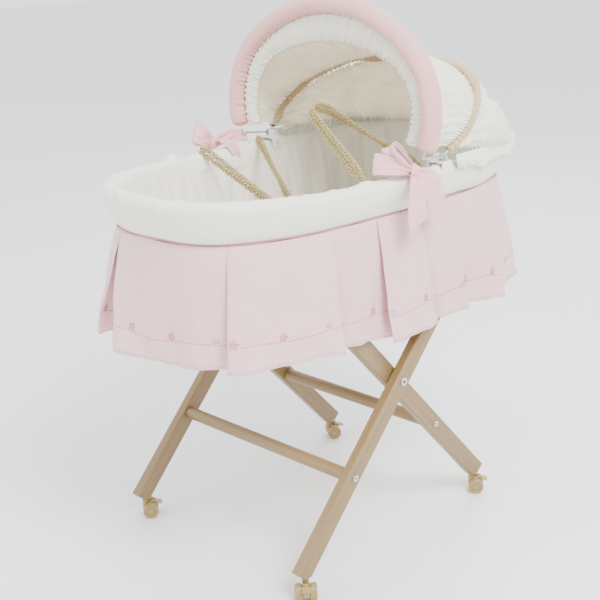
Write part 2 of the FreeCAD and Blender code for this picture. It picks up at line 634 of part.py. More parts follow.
def build_cloth():
    rise, gap = size("arch_rise"), size("panel_gap")
    behind = size("pad_radius") + 2
    start = size("pad_start") + 4
    front = cloth_section(size("arch_width") / 2 - 4, rise, size("arch_height") - 4, ARCH_ANGLE,
                          size("arch_base_x") + behind, ARCH_Z, start)
    lift = size("casing_radius") + gap
    lift_x, lift_z = -lift * math.sin(MID_ANGLE), lift * math.cos(MID_ANGLE)
    cover_half, cover_reach = MID_HALF + 2, size("mid_reach") + 3
    above = cloth_section(cover_half, rise, cover_reach, MID_ANGLE, PIVOT_X + lift_x, PIVOT_Z + lift_z, 24)
    shaped("hood_front_panel", Part.makeLoft([front, above], True, True))

    below = cloth_section(cover_half, rise, cover_reach, MID_ANGLE, PIVOT_X - lift_x, PIVOT_Z - lift_z, 44)
    back = cloth_section(MID_HALF - 3, rise + 20, (size("mid_reach") + size("hem_reach")) / 2 - 14,
                         MID_ANGLE * 0.42, PIVOT_X, PIVOT_Z, 34, 0.9)
    hem = cloth_section(size("hem_half_width"), rise + 60, size("hem_reach"), math.radians(-1.2),
                        PIVOT_X, PIVOT_Z, 34, 0.75)
    shaped("hood_rear_panel", Part.makeLoft([below, back, hem], True, True))

    rim = size("arch_width") / 2 - size("pad_radius") - gap
    top = size("arch_height") - size("pad_radius") - gap
    deep = size("ruffle_depth")
    low = size("ruffle_start")
    base = size("arch_base_x")
    outer = horseshoe(rim, rise, top, ARCH_ANGLE, base, ARCH_Z, low)
    inner = horseshoe(rim - deep * 0.8, rise - 4, top - deep * 1.3, ARCH_ANGLE, base, ARCH_Z, low)
    first = Part.LineSegment(outer.Vertexes[0].Point, inner.Vertexes[0].Point).toShape()
    last = Part.LineSegment(inner.Vertexes[-1].Point, outer.Vertexes[-1].Point).toShape()
    face = Part.Face(Part.Wire([outer, last, inner, first]))
    shaped("hood_ruffle", face.extrude(face.normalAt(0, 0) * size("cloth_thick")))


CLIP_LOW = CAP_TOP + size("soft_gap")


def build_clips():
    """Plastic clips pushed over the rim; their bosses hold the pins of the bows."""
    band_out = wall(MOUTH, -size("soft_gap") - size("band_head"))[1] / 2
    lining = size("wall_thick") + size("soft_gap") + size("lining_thick")
    band_in = wall(MOUTH, lining)[1] / 2
    gap, cheek, length = size("clip_gap"), size("clip_cheek"), size("clip_length")
    deep = size("boss_length")
    boss_in = MID_BASE - size("eye_thick") / 2 - size("rest_gap") - deep
    x = PIVOT_X - length / 2
    for name, sign in (("near", -1), ("far", 1)):
        top = Part.makeBox(length, band_out - band_in + 2 * (cheek + gap), cheek,
                           Vector(x, band_in - gap - cheek, CLIP_LOW))
        inner = Part.makeBox(length, cheek, size("clip_drop"),
                             Vector(x, band_in - gap - cheek, CLIP_LOW + cheek - size("clip_drop")))
        outer = Part.makeBox(length, cheek, size("clip_drop"),
                             Vector(x, band_out + gap, CLIP_LOW + cheek - size("clip_drop")))
        boss = Part.makeCylinder(size("eye_radius"), deep, Vector(PIVOT_X, boss_in, PIVOT_Z), Vector(0, 1, 0))
        foot = Part.makeBox(2 * size("eye_radius"), deep, PIVOT_Z - CAP_TOP - gap,
                            Vector(PIVOT_X - size("eye_radius"), boss_in, CLIP_LOW))
        bore = Part.makeCylinder(size("pin_radius") + size("running_gap"), deep + 2,
                                 Vector(PIVOT_X, boss_in - 1, PIVOT_Z), Vector(0, 1, 0))
        slot_low = CAP_TOP + cheek - size("clip_drop") * 0.85
        slot = Part.makeBox(size("clip_slot"), 3 * cheek, size("clip_drop") / 2,
                            Vector(PIVOT_X - size("clip_slot") / 2, band_in - gap - 2 * cheek, slot_low))
        clip = top.fuse([inner, outer, boss, foot]).removeSplitter().cut(bore).cut(slot)
        rivet_y = ARCH_BASE + size("bow_radius") + size("rail_clearance")
        pin = Part.makeCylinder(size("pin_radius"), rivet_y + size("rivet_thick") - boss_in,
                                Vector(PIVOT_X, boss_in, PIVOT_Z), Vector(0, 1, 0))
        cap = Part.makeCylinder(size("rivet_radius"), size("rivet_thick"), Vector(PIVOT_X, rivet_y, PIVOT_Z),
                                Vector(0, 1, 0))
        pin = pin.fuse(cap)
        if sign < 0:
            clip = clip.mirror(Vector(), Vector(0, 1, 0))
            pin = pin.mirror(Vector(), Vector(0, 1, 0))
        shaped("hood_clip_" + name, clip)
        shaped("hood_pin_" + name, pin)


build_bows()
build_cloth()
build_clips()


# Carrying handles: braided strap bent into a hairpin, lying at an angle about its hinge line ------

def hairpin(length, skew, offset):
    """Corner points of one edge of the strap, offset outwards from its middle line."""
    tip = size("handle_tip_radius")
    centre = Vector(skew, length - tip, 0)
    edge = []
    for sign in (-1, 1):
        root = Vector(sign * size("handle_span") / 2, size("handle_root"), 0)
        away = root - centre
        spread = math.acos(tip / away.Length)
        angle = math.atan2(away.y, away.x) + sign * spread
        normal = Vector(math.cos(angle), math.sin(angle), 0)
        edge.append((root + normal * offset, centre + normal * (tip + offset)))
    crown = centre + Vector(0, tip + offset, 0)
    (left_root, left_touch), (right_root, right_touch) = edge
    return left_root, left_touch, crown, right_touch, right_root


def handle(label, length, skew, angle, side):
    thick, width = size("handle_thick"), size("handle_width")
    outer = hairpin(length, skew, thick / 2)
    inner = hairpin(length, skew, -thick / 2)
    edges = [
        Part.LineSegment(outer[0], outer[1]), Part.Arc(outer[1], outer[2], outer[3]),
        Part.LineSegment(outer[3], outer[4]), Part.LineSegment(outer[4], inner[4]),
        Part.LineSegment(inner[4], inner[3]), Part.Arc(inner[3], inner[2], inner[1]),
        Part.LineSegment(inner[1], inner[0]), Part.LineSegment(inner[0], outer[0]),
    ]
    outline = Part.Wire([edge.toShape() for edge in edges])
    strap = Part.Face(outline).extrude(Vector(0, 0, width))
    strap.translate(Vector(0, 0, -width / 2))
    eye, root = size("handle_eye_radius"), size("handle_root") + 2
    for sign in (-1, 1):
        start = Vector(sign * size("handle_span") / 2 - thick / 2, 0, 0)
        neck = Part.makeBox(thick, root, 2 * eye - 1, start - Vector(0, 0, eye - 0.5))
        strap = strap.fuse(neck).fuse(Part.makeCylinder(eye, thick, start, Vector(1, 0, 0)))
    thing = shaped(label, strap)
    turn = angle if side < 0 else 180 - angle
    thing.Placement = Placement(
        Vector(size("handle_middle"), side * size("handle_hinge_y"), CAP_TOP + size("handle_hinge_rise")),
        Rotation(Vector(1, 0, 0), turn))


handle("handle_near", size("near_handle_length"), size("near_handle_skew"), size("near_handle_angle"), -1)
handle("handle_far", size("far_handle_length"), size("far_handle_skew"), size("far_handle_angle"), 1)


# Ribbon bows: a knot, two loops and two tails on the outside of the rim ---------------------------

def bow(label, x, side):
    knot_y = wall(MOUTH, -size("soft_gap") - size("band_head"))[1] / 2 + size("knot_radius") + 1
    knot_z = CAP_TOP + 2
    knot = Part.makeSphere(size("knot_radius"), Vector(x, side * knot_y, knot_z))
    pieces = []
    for lean_angle in (128, 165):
        loop = Part.makeSphere(1)
        frame = FreeCAD.Matrix()
        frame.scale(size("loop_length") / 2, size("loop_thick") / 2, size("loop_width") / 2)
        loop = loop.transformGeometry(frame)
        loop.translate(Vector(size("loop_length") / 2, 0, 0))
        aimed = Placement(Vector(x, side * knot_y, knot_z), Rotation(Vector(0, 1, 0), -lean_angle))
        loop.Placement = aimed.multiply(loop.Placement)
        pieces.append(loop)
    for number, lean_angle in enumerate((6, -16)):
        thick, long = size("tail_thick"), size("tail_length")
        back = -thick / 2 - size("tail_spread") * number
        tail = Part.makeBox(size("tail_width"), thick, long, Vector(-size("tail_width") / 2, back, -long))
        tail.Placement = Placement(Vector(x, side * (knot_y - thick), knot_z - thick),
                                   Rotation(Vector(0, 1, 0), lean_angle))
        pieces.append(tail)
    shaped(label, knot.fuse(pieces))


bow("bow_near", size("near_bow_x"), -1)
bow("bow_far", size("far_bow_x"), 1)


# Check everything, then write one file for each sub-part ----------------------------------------

doc.recompute()
failed = [item.Name for item in doc.Objects if "Invalid" in item.State or "Error" in item.State]
if failed:
    raise RuntimeError("failed to build: " + ", ".join(failed))
for thing in parts:
    if thing.Shape.isNull() or not thing.Shape.isValid() or not thing.Shape.Solids:
        raise RuntimeError("not a valid solid: " + thing.Label)
os.makedirs("parts", exist_ok=True)
for thing in parts:
    thing.Shape.exportStep("parts/%s.step" % thing.Label)
print("wrote %d parts" % len(parts))
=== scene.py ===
import math

import bmesh
import bpy
import numpy as np
from mathutils import Matrix, Vector


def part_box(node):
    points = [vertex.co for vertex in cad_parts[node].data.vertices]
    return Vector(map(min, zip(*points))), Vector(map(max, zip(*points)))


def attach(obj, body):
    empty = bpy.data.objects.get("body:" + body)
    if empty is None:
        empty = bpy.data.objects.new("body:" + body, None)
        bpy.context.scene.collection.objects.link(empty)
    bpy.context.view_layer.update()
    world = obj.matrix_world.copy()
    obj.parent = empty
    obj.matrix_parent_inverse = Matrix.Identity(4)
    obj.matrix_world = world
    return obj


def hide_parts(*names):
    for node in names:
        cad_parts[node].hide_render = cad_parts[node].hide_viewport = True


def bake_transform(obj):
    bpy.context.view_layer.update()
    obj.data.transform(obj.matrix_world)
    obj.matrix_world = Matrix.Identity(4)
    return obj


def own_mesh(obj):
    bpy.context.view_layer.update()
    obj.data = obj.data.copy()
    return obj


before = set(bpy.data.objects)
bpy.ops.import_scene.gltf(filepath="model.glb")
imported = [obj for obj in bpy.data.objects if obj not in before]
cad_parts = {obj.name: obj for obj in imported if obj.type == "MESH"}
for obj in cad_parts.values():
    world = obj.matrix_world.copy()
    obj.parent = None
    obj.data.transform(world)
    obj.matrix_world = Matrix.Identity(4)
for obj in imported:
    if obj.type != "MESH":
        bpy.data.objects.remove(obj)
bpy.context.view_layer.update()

# Moses basket on its folding beech stand, in metres. +X is the head end under the hood, +Z is up,
# and "near" is the -Y side. The sections follow the object as it is put together.

# --- Studio: a plain pale sweep, a large soft key lamp, two fills and the camera ------------------
# The camera stands at the foot end on the near side, a little above the rim and looking down.

eye = Vector((-1.5502, -1.4844, 1.1235))
heading, dip, roll = math.radians(45.07), math.radians(18.05), math.radians(-1.78)
ahead = Vector((math.sin(heading) * math.cos(dip), math.cos(heading) * math.cos(dip), -math.sin(dip)))
level = Vector((math.cos(heading), -math.sin(heading), 0))
across = level * math.cos(roll) + level.cross(ahead) * math.sin(roll)
upright = across.cross(ahead)
camera = bpy.data.objects.new("camera", bpy.data.cameras.new("camera"))
bpy.context.scene.collection.objects.link(camera)
camera.data.lens = 70.2
camera.data.sensor_width = 36
camera.matrix_world = Matrix.Translation(eye) @ Matrix((across, upright, -ahead)).transposed().to_4x4()
bpy.context.scene.camera = camera


def node(tree, kind, links=None, **settings):
    """One shader node; links gives its inputs as plain values or as sockets to join."""
    made = tree.nodes.new("ShaderNode" + kind)
    for name, value in settings.items():
        setattr(made, name, value)
    for name, value in (links or {}).items():
        if isinstance(value, bpy.types.NodeSocket):
            tree.links.new(value, made.inputs[name])
        else:
            made.inputs[name].default_value = value
    return made


def finish(name, colour, roughness, sheen=0.0, coat=0.0, metal=0.0, glow=0.0):
    """A Principled material with its constants on the shader's own sockets."""
    material = bpy.data.materials.new(name)
    material.use_nodes = True
    shader = material.node_tree.nodes["Principled BSDF"]
    shader.inputs["Base Color"].default_value = (*colour, 1)
    shader.inputs["Roughness"].default_value = roughness
    shader.inputs["Sheen Weight"].default_value = sheen
    shader.inputs["Sheen Roughness"].default_value = 0.5
    shader.inputs["Coat Weight"].default_value = coat
    shader.inputs["Coat Roughness"].default_value = 0.2
    shader.inputs["Metallic"].default_value = metal
    shader.inputs["Subsurface Weight"].default_value = glow
    shader.inputs["Subsurface Radius"].default_value = (0.006, 0.004, 0.003)
    shader.inputs["Subsurface Scale"].default_value = 1.0
    return material, material.node_tree, shader


floor_material, tree, shader = finish("studio_floor", (0.84, 0.845, 0.85), 0.35)
mottle = node(tree, "TexNoise", {"Scale": 3.0, "Detail": 3.0})
sweep_tone = node(tree, "MapRange", {"Value": mottle.outputs["Fac"], "To Min": 0.32, "To Max": 0.42})
tree.links.new(sweep_tone.outputs["Result"], shader.inputs["Roughness"])
sweep_reach = 14.0
bpy.ops.mesh.primitive_plane_add(size=2 * sweep_reach)
studio_floor = bpy.context.object
studio_floor.name = "studio_floor"
studio_floor.data.materials.append(floor_material)

world = bpy.data.worlds.new("studio")
world.use_nodes = True
world.node_tree.nodes["Background"].inputs["Color"].default_value = (0.97, 0.985, 1.0, 1)
world.node_tree.nodes["Background"].inputs["Strength"].default_value = 2.05
bpy.context.scene.world = world


def lamp(name, place, width, power, colour, aim=(0, 0, 0.6)):
    light = bpy.data.lights.new(name, "AREA")
    light.size = width
    light.energy = power
    light.color = colour
    held = bpy.data.objects.new(name, light)
    held.location = place
    held.rotation_euler = (Vector(aim) - Vector(place)).to_track_quat("-Z", "Y").to_euler()
    bpy.context.scene.collection.objects.link(held)


lamp("key_lamp", (-0.6, -2.6, 3.4), 1.6, 260, (1.0, 0.985, 0.96))
lamp("head_lamp", (2.6, 0.9, 2.6), 1.8, 60, (0.97, 0.985, 1.0))
lamp("foot_lamp", (-3.0, 1.2, 2.0), 1.6, 50, (1.0, 1.0, 1.0))


# --- Folding stand: beech legs and dowels ---------------------------------------------------------
# Four straight beech legs with rounded edges, crossed in two frames and joined by turned dowels.
# The wood is clear-lacquered, pale honey, with its grain along each piece.

def group_frame(name, takes, gives):
    """A shader node group with its named sockets; returns the group, its inputs and its outputs."""
    group = bpy.data.node_groups.new(name, "ShaderNodeTree")
    for socket, (kind, value) in takes.items():
        made = group.interface.new_socket(socket, in_out="INPUT", socket_type="NodeSocket" + kind)
        if value is not None:
            made.default_value = value
    for socket, kind in gives.items():
        group.interface.new_socket(socket, in_out="OUTPUT", socket_type="NodeSocket" + kind)
    return group, group.nodes.new("NodeGroupInput"), group.nodes.new("NodeGroupOutput")


def use(tree, group, links):
    """Place a node group in a material."""
    placed = tree.nodes.new("ShaderNodeGroup")
    placed.node_tree = group
    for name, value in links.items():
        if isinstance(value, bpy.types.NodeSocket):
            tree.links.new(value, placed.inputs[name])
        else:
            placed.inputs[name].default_value = value
    return placed


def mix(tree, share, first, second, blend="MIX"):
    """Two colours mixed by a share, given as a value or as sockets."""
    made = tree.nodes.new("ShaderNodeMix")
    made.data_type = "RGBA"
    made.blend_type = blend
    for slot, value in ((0, share), (6, first), (7, second)):
        if isinstance(value, bpy.types.NodeSocket):
            tree.links.new(value, made.inputs[slot])
        else:
            made.inputs[slot].default_value = value
    return made.outputs[2]


def span(tree, value, low, high, to_low, to_high):
    return node(tree, "MapRange", {
        "Value": value, "From Min": low, "From Max": high, "To Min": to_low, "To Max": to_high,
    }).outputs["Result"]


# Edge rubbing and painted shade: paler edges, and darker hollows painted as shade, both from the surface's
# own curvature.
wear_and_shade, _, given = group_frame("edge_wear_and_shade", {}, {"Edge": "Float", "Hollow": "Float"})
shape_of = node(wear_and_shade, "NewGeometry")
patchy = node(wear_and_shade, "TexNoise", {"Scale": 60.0, "Detail": 4.0})
edge = node(wear_and_shade, "MapRange", {"Value": shape_of.outputs["Pointiness"], "From Min": 0.52, "From Max": 0.62})
broken = node(wear_and_shade, "Math", {0: edge.outputs["Result"], 1: patchy.outputs["Fac"]}, operation="MULTIPLY")
wear_and_shade.links.new(broken.outputs[0], given.inputs["Edge"])
# Hollow mask: the materials darken by it to paint shade into the hollows.
hollow = node(wear_and_shade, "MapRange", {"Value": shape_of.outputs["Pointiness"], "From Min": 0.48, "From Max": 0.4})
wear_and_shade.links.new(hollow.outputs["Result"], given.inputs["Hollow"])

grain, taken, given = group_frame(
    "beech_grain", {"Along": ("Vector", None)}, {"Colour": "Color", "Roughness": "Float", "Height": "Float"})
# The grain runs along the vector's Z: long streaks, growth rings and the short flecks of beech.
streak_space = node(grain, "VectorMath", {0: taken.outputs["Along"], 1: (60, 60, 2.2)}, operation="MULTIPLY")
streaks = node(grain, "TexNoise", {"Vector": streak_space.outputs[0], "Scale": 1.0, "Detail": 5.0,
                                             "Roughness": 0.6, "Distortion": 0.4})
ring_space = node(grain, "VectorMath", {0: taken.outputs["Along"], 1: (30, 30, 0.9)}, operation="MULTIPLY")
rings = node(grain, "TexNoise", {"Vector": ring_space.outputs[0], "Scale": 1.0, "Detail": 2.0})
ring_wave = node(grain, "Math", {0: rings.outputs["Fac"], 1: 46.0}, operation="MULTIPLY")
ring_line = node(grain, "Math", {0: ring_wave.outputs[0]}, operation="SINE")
fleck_space = node(grain, "VectorMath", {0: taken.outputs["Along"], 1: (900, 900, 90)}, operation="MULTIPLY")
flecks = node(grain, "TexVoronoi", {"Vector": fleck_space.outputs[0], "Scale": 1.0})
fleck_mask = span(grain, flecks.outputs["Distance"], 0.05, 0.22, 1.0, 0.0)
base = mix(grain, span(grain, streaks.outputs["Fac"], 0.3, 0.7, 0.0, 1.0), (0.165, 0.098, 0.034, 1),
           (0.23, 0.145, 0.056, 1))
ringed = mix(grain, span(grain, ring_line.outputs[0], -1, 1, 0.0, 0.35), base, (0.125, 0.07, 0.022, 1))
flecked = mix(grain, span(grain, fleck_mask, 0, 1, 0.0, 0.45), ringed, (0.075, 0.04, 0.012, 1))
grain.links.new(flecked, given.inputs["Colour"])
grain.links.new(span(grain, streaks.outputs["Fac"], 0.3, 0.7, 0.5, 0.38), given.inputs["Roughness"])
height = node(grain, "Math", {0: streaks.outputs["Fac"], 1: fleck_mask}, operation="SUBTRACT")
grain.links.new(height.outputs[0], given.inputs["Height"])


def beech(name, turn):
    """Lacquered beech whose grain lies along Z once the surface is turned by the given angles."""
    material, tree, shader = finish(name, (0.2, 0.12, 0.045), 0.42, coat=0.2)
    place = node(tree, "TexCoord")
    turned = node(tree, "Mapping", {"Vector": place.outputs["Object"], "Rotation": turn})
    wood = use(tree, grain, {"Along": turned.outputs["Vector"]})
    worn_and_shaded = use(tree, wear_and_shade, {})
    pale = mix(tree, span(tree, worn_and_shaded.outputs["Edge"], 0, 1, 0.0, 0.5), wood.outputs["Colour"],
               (0.30, 0.205, 0.095, 1))
    tree.links.new(pale, shader.inputs["Base Color"])
    tree.links.new(wood.outputs["Roughness"], shader.inputs["Roughness"])
    bump = node(tree, "Bump", {"Height": wood.outputs["Height"], "Strength": 0.25, "Distance": 0.0004})
    tree.links.new(bump.outputs["Normal"], shader.inputs["Normal"])
    return material


def repaint(name, material):
    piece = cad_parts[name]
    piece.data.materials.clear()
    piece.data.materials.append(material)
    for face in piece.data.polygons:
        face.material_index = 0


leg_lean = math.radians(43.26)
outer_beech = beech("beech_outer_leg", (0, -leg_lean, 0))
inner_beech = beech("beech_inner_leg", (0, leg_lean, 0))
rail_beech = beech("beech_rail", (math.pi / 2, 0, 0))
for side in ("near", "far"):
    repaint("outer_leg_" + side, outer_beech)
    repaint("inner_leg_" + side, inner_beech)
for rail in ("outer_low_rail", "outer_top_rail", "inner_low_rail", "inner_top_rail"):
    repaint(rail, rail_beech)


# --- Stand hardware: socket-head screws, pivot bolts, washers and nuts ----------------------------
# Zinc-plated steel, turned and lightly brushed. The screws hold the dowels, the bolts are the pivots.

steel, tree, shader = finish("zinc_steel", (0.62, 0.62, 0.63), 0.3, metal=1.0)
place = node(tree, "TexCoord")
brushed_space = node(tree, "Mapping", {"Vector": place.outputs["Object"], "Scale": (900, 60, 900)})
brushed = node(tree, "TexNoise", {"Vector": brushed_space.outputs["Vector"], "Scale": 1.0, "Detail": 3.0})
worn_and_shaded = use(tree, wear_and_shade, {})
# Painted shade: the steel is darkened in its hollows.
steel_painted_shade = mix(tree, worn_and_shaded.outputs["Hollow"], (0.62, 0.62, 0.63, 1), (0.2, 0.19, 0.18, 1))
tree.links.new(steel_painted_shade, shader.inputs["Base Color"])
tree.links.new(span(tree, brushed.outputs["Fac"], 0.3, 0.7, 0.22, 0.42), shader.inputs["Roughness"])
bump = node(tree, "Bump", {"Height": brushed.outputs["Fac"], "Strength": 0.2, "Distance": 0.0001})
tree.links.new(bump.outputs["Normal"], shader.inputs["Normal"])
for piece in ("outer_screws", "inner_screws", "pivot_bolts", "pivot_washers", "pivot_nuts"):
    repaint(piece, steel)
for corner in ("outer_near", "outer_far", "inner_near", "inner_far"):
    repaint("stem_" + corner, steel)
    repaint("axle_" + corner, steel)


# --- Stop straps: two lengths of cotton webbing between the top dowels ----------------------------
# Herringbone webbing stapled round each dowel; it limits how far the stand opens and crumples shut.

def sheet_mesh(name, grid, material, ring=False, tube=False, thickness=0.0):
    """A mesh from a grid of points [row, column, xyz] with cloth coordinates in metres as its UVs.
    ring joins the last column to the first, and tube joins the last row to the first."""
    grid = np.asarray(grid, float)
    rows, columns = grid.shape[:2]
    faces = []
    for row in range(rows if tube else rows - 1):
        for column in range(columns if ring else columns - 1):
            below, beside = (row + 1) % rows, (column + 1) % columns
            faces.append((row * columns + column, row * columns + beside,
                          below * columns + beside, below * columns + column))
    mesh = bpy.data.meshes.new(name)
    mesh.from_pydata(grid.reshape(-1, 3).tolist(), [], faces)
    layer = mesh.uv_layers.new(name="cloth")
    widest = np.linalg.norm(np.diff(grid, axis=1), axis=2).sum(axis=1).max()
    longest = np.linalg.norm(np.diff(grid, axis=0), axis=2).sum(axis=0).max()
    corners = np.array([loop.vertex_index for loop in mesh.loops])
    row_of, column_of = corners // columns, corners % columns
    face_row, face_column = np.repeat(row_of[::4], 4), np.repeat(column_of[::4], 4)
    row_of = np.where(row_of < face_row, rows, row_of)
    column_of = np.where(column_of < face_column, columns, column_of)
    coordinates = np.stack([column_of / max(columns - 1, 1) * widest, row_of / max(rows - 1, 1) * longest], 1)
    layer.data.foreach_set("uv", coordinates.astype(np.float32).ravel())
    mesh.polygons.foreach_set("use_smooth", [True] * len(faces))
    piece = bpy.data.objects.new(name, mesh)
    bpy.context.scene.collection.objects.link(piece)
    piece.data.materials.append(material)
    if thickness:
        solid = piece.modifiers.new("cloth_thickness", "SOLIDIFY")
        solid.thickness = thickness
        solid.offset = 0
        apply_modifiers(piece)
    return piece


def apply_modifiers(piece):
    whole = bpy.data.meshes.new_from_object(piece.evaluated_get(bpy.context.evaluated_depsgraph_get()))
    piece.modifiers.clear()
    piece.data = whole


def mend(piece, close=True, flat_ends=False):
    """Turn a mesh's faces outwards, closing its open ends first when asked."""
    mesh = bmesh.new()
    mesh.from_mesh(piece.data)
    if close:
        bmesh.ops.holes_fill(mesh, edges=[e for e in mesh.edges if e.is_boundary])
    if flat_ends:
        for face in mesh.faces:
            face.smooth = len(face.verts) == 4
    bmesh.ops.recalc_face_normals(mesh, faces=mesh.faces)
    mesh.to_mesh(piece.data)
    mesh.free()


# Woven cloth: threads over and under each other, uneven yarn, and soft creases.
weave, taken, given = group_frame(
    "cotton_weave",
    {"Place": ("Vector", None), "Threads": ("Float", 1800.0), "Crease": ("Float", 22.0)},
    {"Shade": "Float", "Height": "Float", "Crumple": "Float"})
slub = node(weave, "TexNoise", {"Vector": taken.outputs["Place"], "Scale": 240.0, "Detail": 2.0})
slub_shift = node(weave, "VectorMath", {0: slub.outputs["Color"], "Scale": 0.0006}, operation="SCALE")
wandering = node(weave, "VectorMath", {0: taken.outputs["Place"], 1: slub_shift.outputs[0]}, operation="ADD")
threads = node(weave, "VectorMath", {0: wandering.outputs[0], "Scale": taken.outputs["Threads"]},
               operation="SCALE")
split = node(weave, "SeparateXYZ", {"Vector": threads.outputs[0]})
warp = node(weave, "Math", {0: split.outputs["X"]}, operation="SINE")
weft = node(weave, "Math", {0: split.outputs["Y"]}, operation="SINE")
crossing = node(weave, "Math", {0: warp.outputs[0], 1: weft.outputs[0]}, operation="MULTIPLY")
weave.links.new(crossing.outputs[0], given.inputs["Height"])
weave.links.new(span(weave, slub.outputs["Fac"], 0.25, 0.75, 0.0, 1.0), given.inputs["Shade"])
crease = node(weave, "TexNoise", {"Vector": taken.outputs["Place"], "Scale": taken.outputs["Crease"],
                                            "Detail": 4.0, "Roughness": 0.55, "Distortion": 0.6})
weave.links.new(crease.outputs["Fac"], given.inputs["Crumple"])


def cloth(name, light, dark, threads=1800.0, crease=22.0, crumple=0.35, depth=0.004, sheen=0.25, glow=0.08):
    """Plain woven cotton. light and dark are its colours on raised yarn and in the hollows, where dark is
    painted shade.
    """
    material, tree, shader = finish(name, light, 0.85, sheen=sheen, glow=glow)
    place = node(tree, "UVMap", uv_map="cloth")
    woven = use(tree, weave, {"Place": place.outputs["UV"], "Threads": threads, "Crease": crease})
    worn_and_shaded = use(tree, wear_and_shade, {})
    yarn = mix(tree, span(tree, woven.outputs["Shade"], 0, 1, 0.0, 0.35), (*light, 1), (*dark, 1))
    # Painted shade: the dark colour is laid into the hollows and creases.
    shaded_in_hollows = mix(tree, span(tree, worn_and_shaded.outputs["Hollow"], 0, 1, 0.0, 0.6), yarn, (*dark, 1))
    tree.links.new(shaded_in_hollows, shader.inputs["Base Color"])
    tree.links.new(span(tree, woven.outputs["Shade"], 0, 1, 0.78, 0.92), shader.inputs["Roughness"])
    fine = node(tree, "Bump", {"Height": woven.outputs["Height"], "Strength": 0.3, "Distance": 0.0002})
    soft = node(tree, "Bump", {"Height": woven.outputs["Crumple"], "Strength": crumple,
                                         "Distance": depth, "Normal": fine.outputs["Normal"]})
    tree.links.new(soft.outputs["Normal"], shader.inputs["Normal"])
    return material


webbing = cloth("cotton_webbing", (0.72, 0.68, 0.58), (0.5, 0.46, 0.37), threads=2600.0, crumple=0.1,
                glow=0.0)
strap_low, strap_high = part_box("stop_straps")
strap_width, strap_middle, strap_sag = 0.025, 0.095, 0.004
steps = np.linspace(0, 1, 40)
for side, sign in (("near", -1), ("far", 1)):
    run = strap_low.x + steps * (strap_high.x - strap_low.x)
    sag = strap_sag * 4 * steps * (1 - steps)
    middle_z = (strap_low.z + strap_high.z) / 2
    edges = np.linspace(-0.5, 0.5, 7)
    strap = np.array([[(x, sign * strap_middle + edge * strap_width,
                        middle_z - drop + 0.0006 * math.cos(9 * edge))
                       for edge in edges] for x, drop in zip(run, sag)])
    webbing_strap = sheet_mesh("stop_strap_" + side, strap, webbing, thickness=0.0014)
    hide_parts("stop_straps")
    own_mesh(webbing_strap)
    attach(webbing_strap, "outer_frame")


# --- Castors: twin wheels on a swivelling housing with a brake tab --------------------------------
# Honey-coloured moulded nylon. The wheel faces are turned discs with a dished ring and a hub cap.

nylon, tree, shader = finish("honey_nylon", (0.24, 0.165, 0.055), 0.38, glow=0.05)
place = node(tree, "TexCoord")
cloudy = node(tree, "TexNoise", {"Vector": place.outputs["Object"], "Scale": 90.0, "Detail": 3.0})
pitted = node(tree, "TexNoise", {"Vector": place.outputs["Object"], "Scale": 1400.0, "Detail": 1.0})
worn_and_shaded = use(tree, wear_and_shade, {})
tone = mix(tree, cloudy.outputs["Fac"], (0.24, 0.165, 0.055, 1), (0.33, 0.24, 0.09, 1))
scuffed = mix(tree, span(tree, worn_and_shaded.outputs["Edge"], 0, 1, 0, 0.6), tone, (0.44, 0.35, 0.17, 1))
# Painted shade: the nylon is darkened in its hollows.
painted_hollow_shade = mix(tree, span(tree, worn_and_shaded.outputs["Hollow"], 0, 1, 0, 0.7), scuffed, (0.10, 0.065, 0.025, 1))
tree.links.new(painted_hollow_shade, shader.inputs["Base Color"])
tree.links.new(span(tree, cloudy.outputs["Fac"], 0.3, 0.7, 0.3, 0.46), shader.inputs["Roughness"])
bump = node(tree, "Bump", {"Height": pitted.outputs["Fac"], "Strength": 0.12, "Distance": 0.0002})
tree.links.new(bump.outputs["Normal"], shader.inputs["Normal"])

for corner in ("outer_near", "outer_far", "inner_near", "inner_far"):
    repaint("housing_" + corner, nylon)
    repaint("brake_" + corner, nylon)
    repaint("socket_" + corner, nylon)
    repaint("wheels_" + corner, nylon)


def fuse(name, verts, faces, material):
    """A mesh with smooth faces from plain points and faces."""
    mesh = bpy.data.meshes.new(name)
    mesh.from_pydata([tuple(v) for v in verts], [], faces)
    mesh.polygons.foreach_set("use_smooth", [True] * len(faces))
    piece = bpy.data.objects.new(name, mesh)
    bpy.context.scene.collection.objects.link(piece)
    piece.data.materials.append(material)
    return piece


def turned_disc(centre, axis, profile, sides=64):
    """Points and faces of a turned form: profile gives (radius, distance along the axis)."""
    axis = Vector(axis).normalized()
    side = axis.orthogonal().normalized()
    other = axis.cross(side)
    verts, faces = [], []
    for radius, height in profile:
        for number in range(sides):
            turn = 2 * math.pi * number / sides
            verts.append(centre + axis * height + (side * math.cos(turn) + other * math.sin(turn)) * radius)
    for ring in range(len(profile) - 1):
        for number in range(sides):
            beside = (number + 1) % sides
            faces.append((ring * sides + number, ring * sides + beside,
                          (ring + 1) * sides + beside, (ring + 1) * sides + number))
    return verts, faces


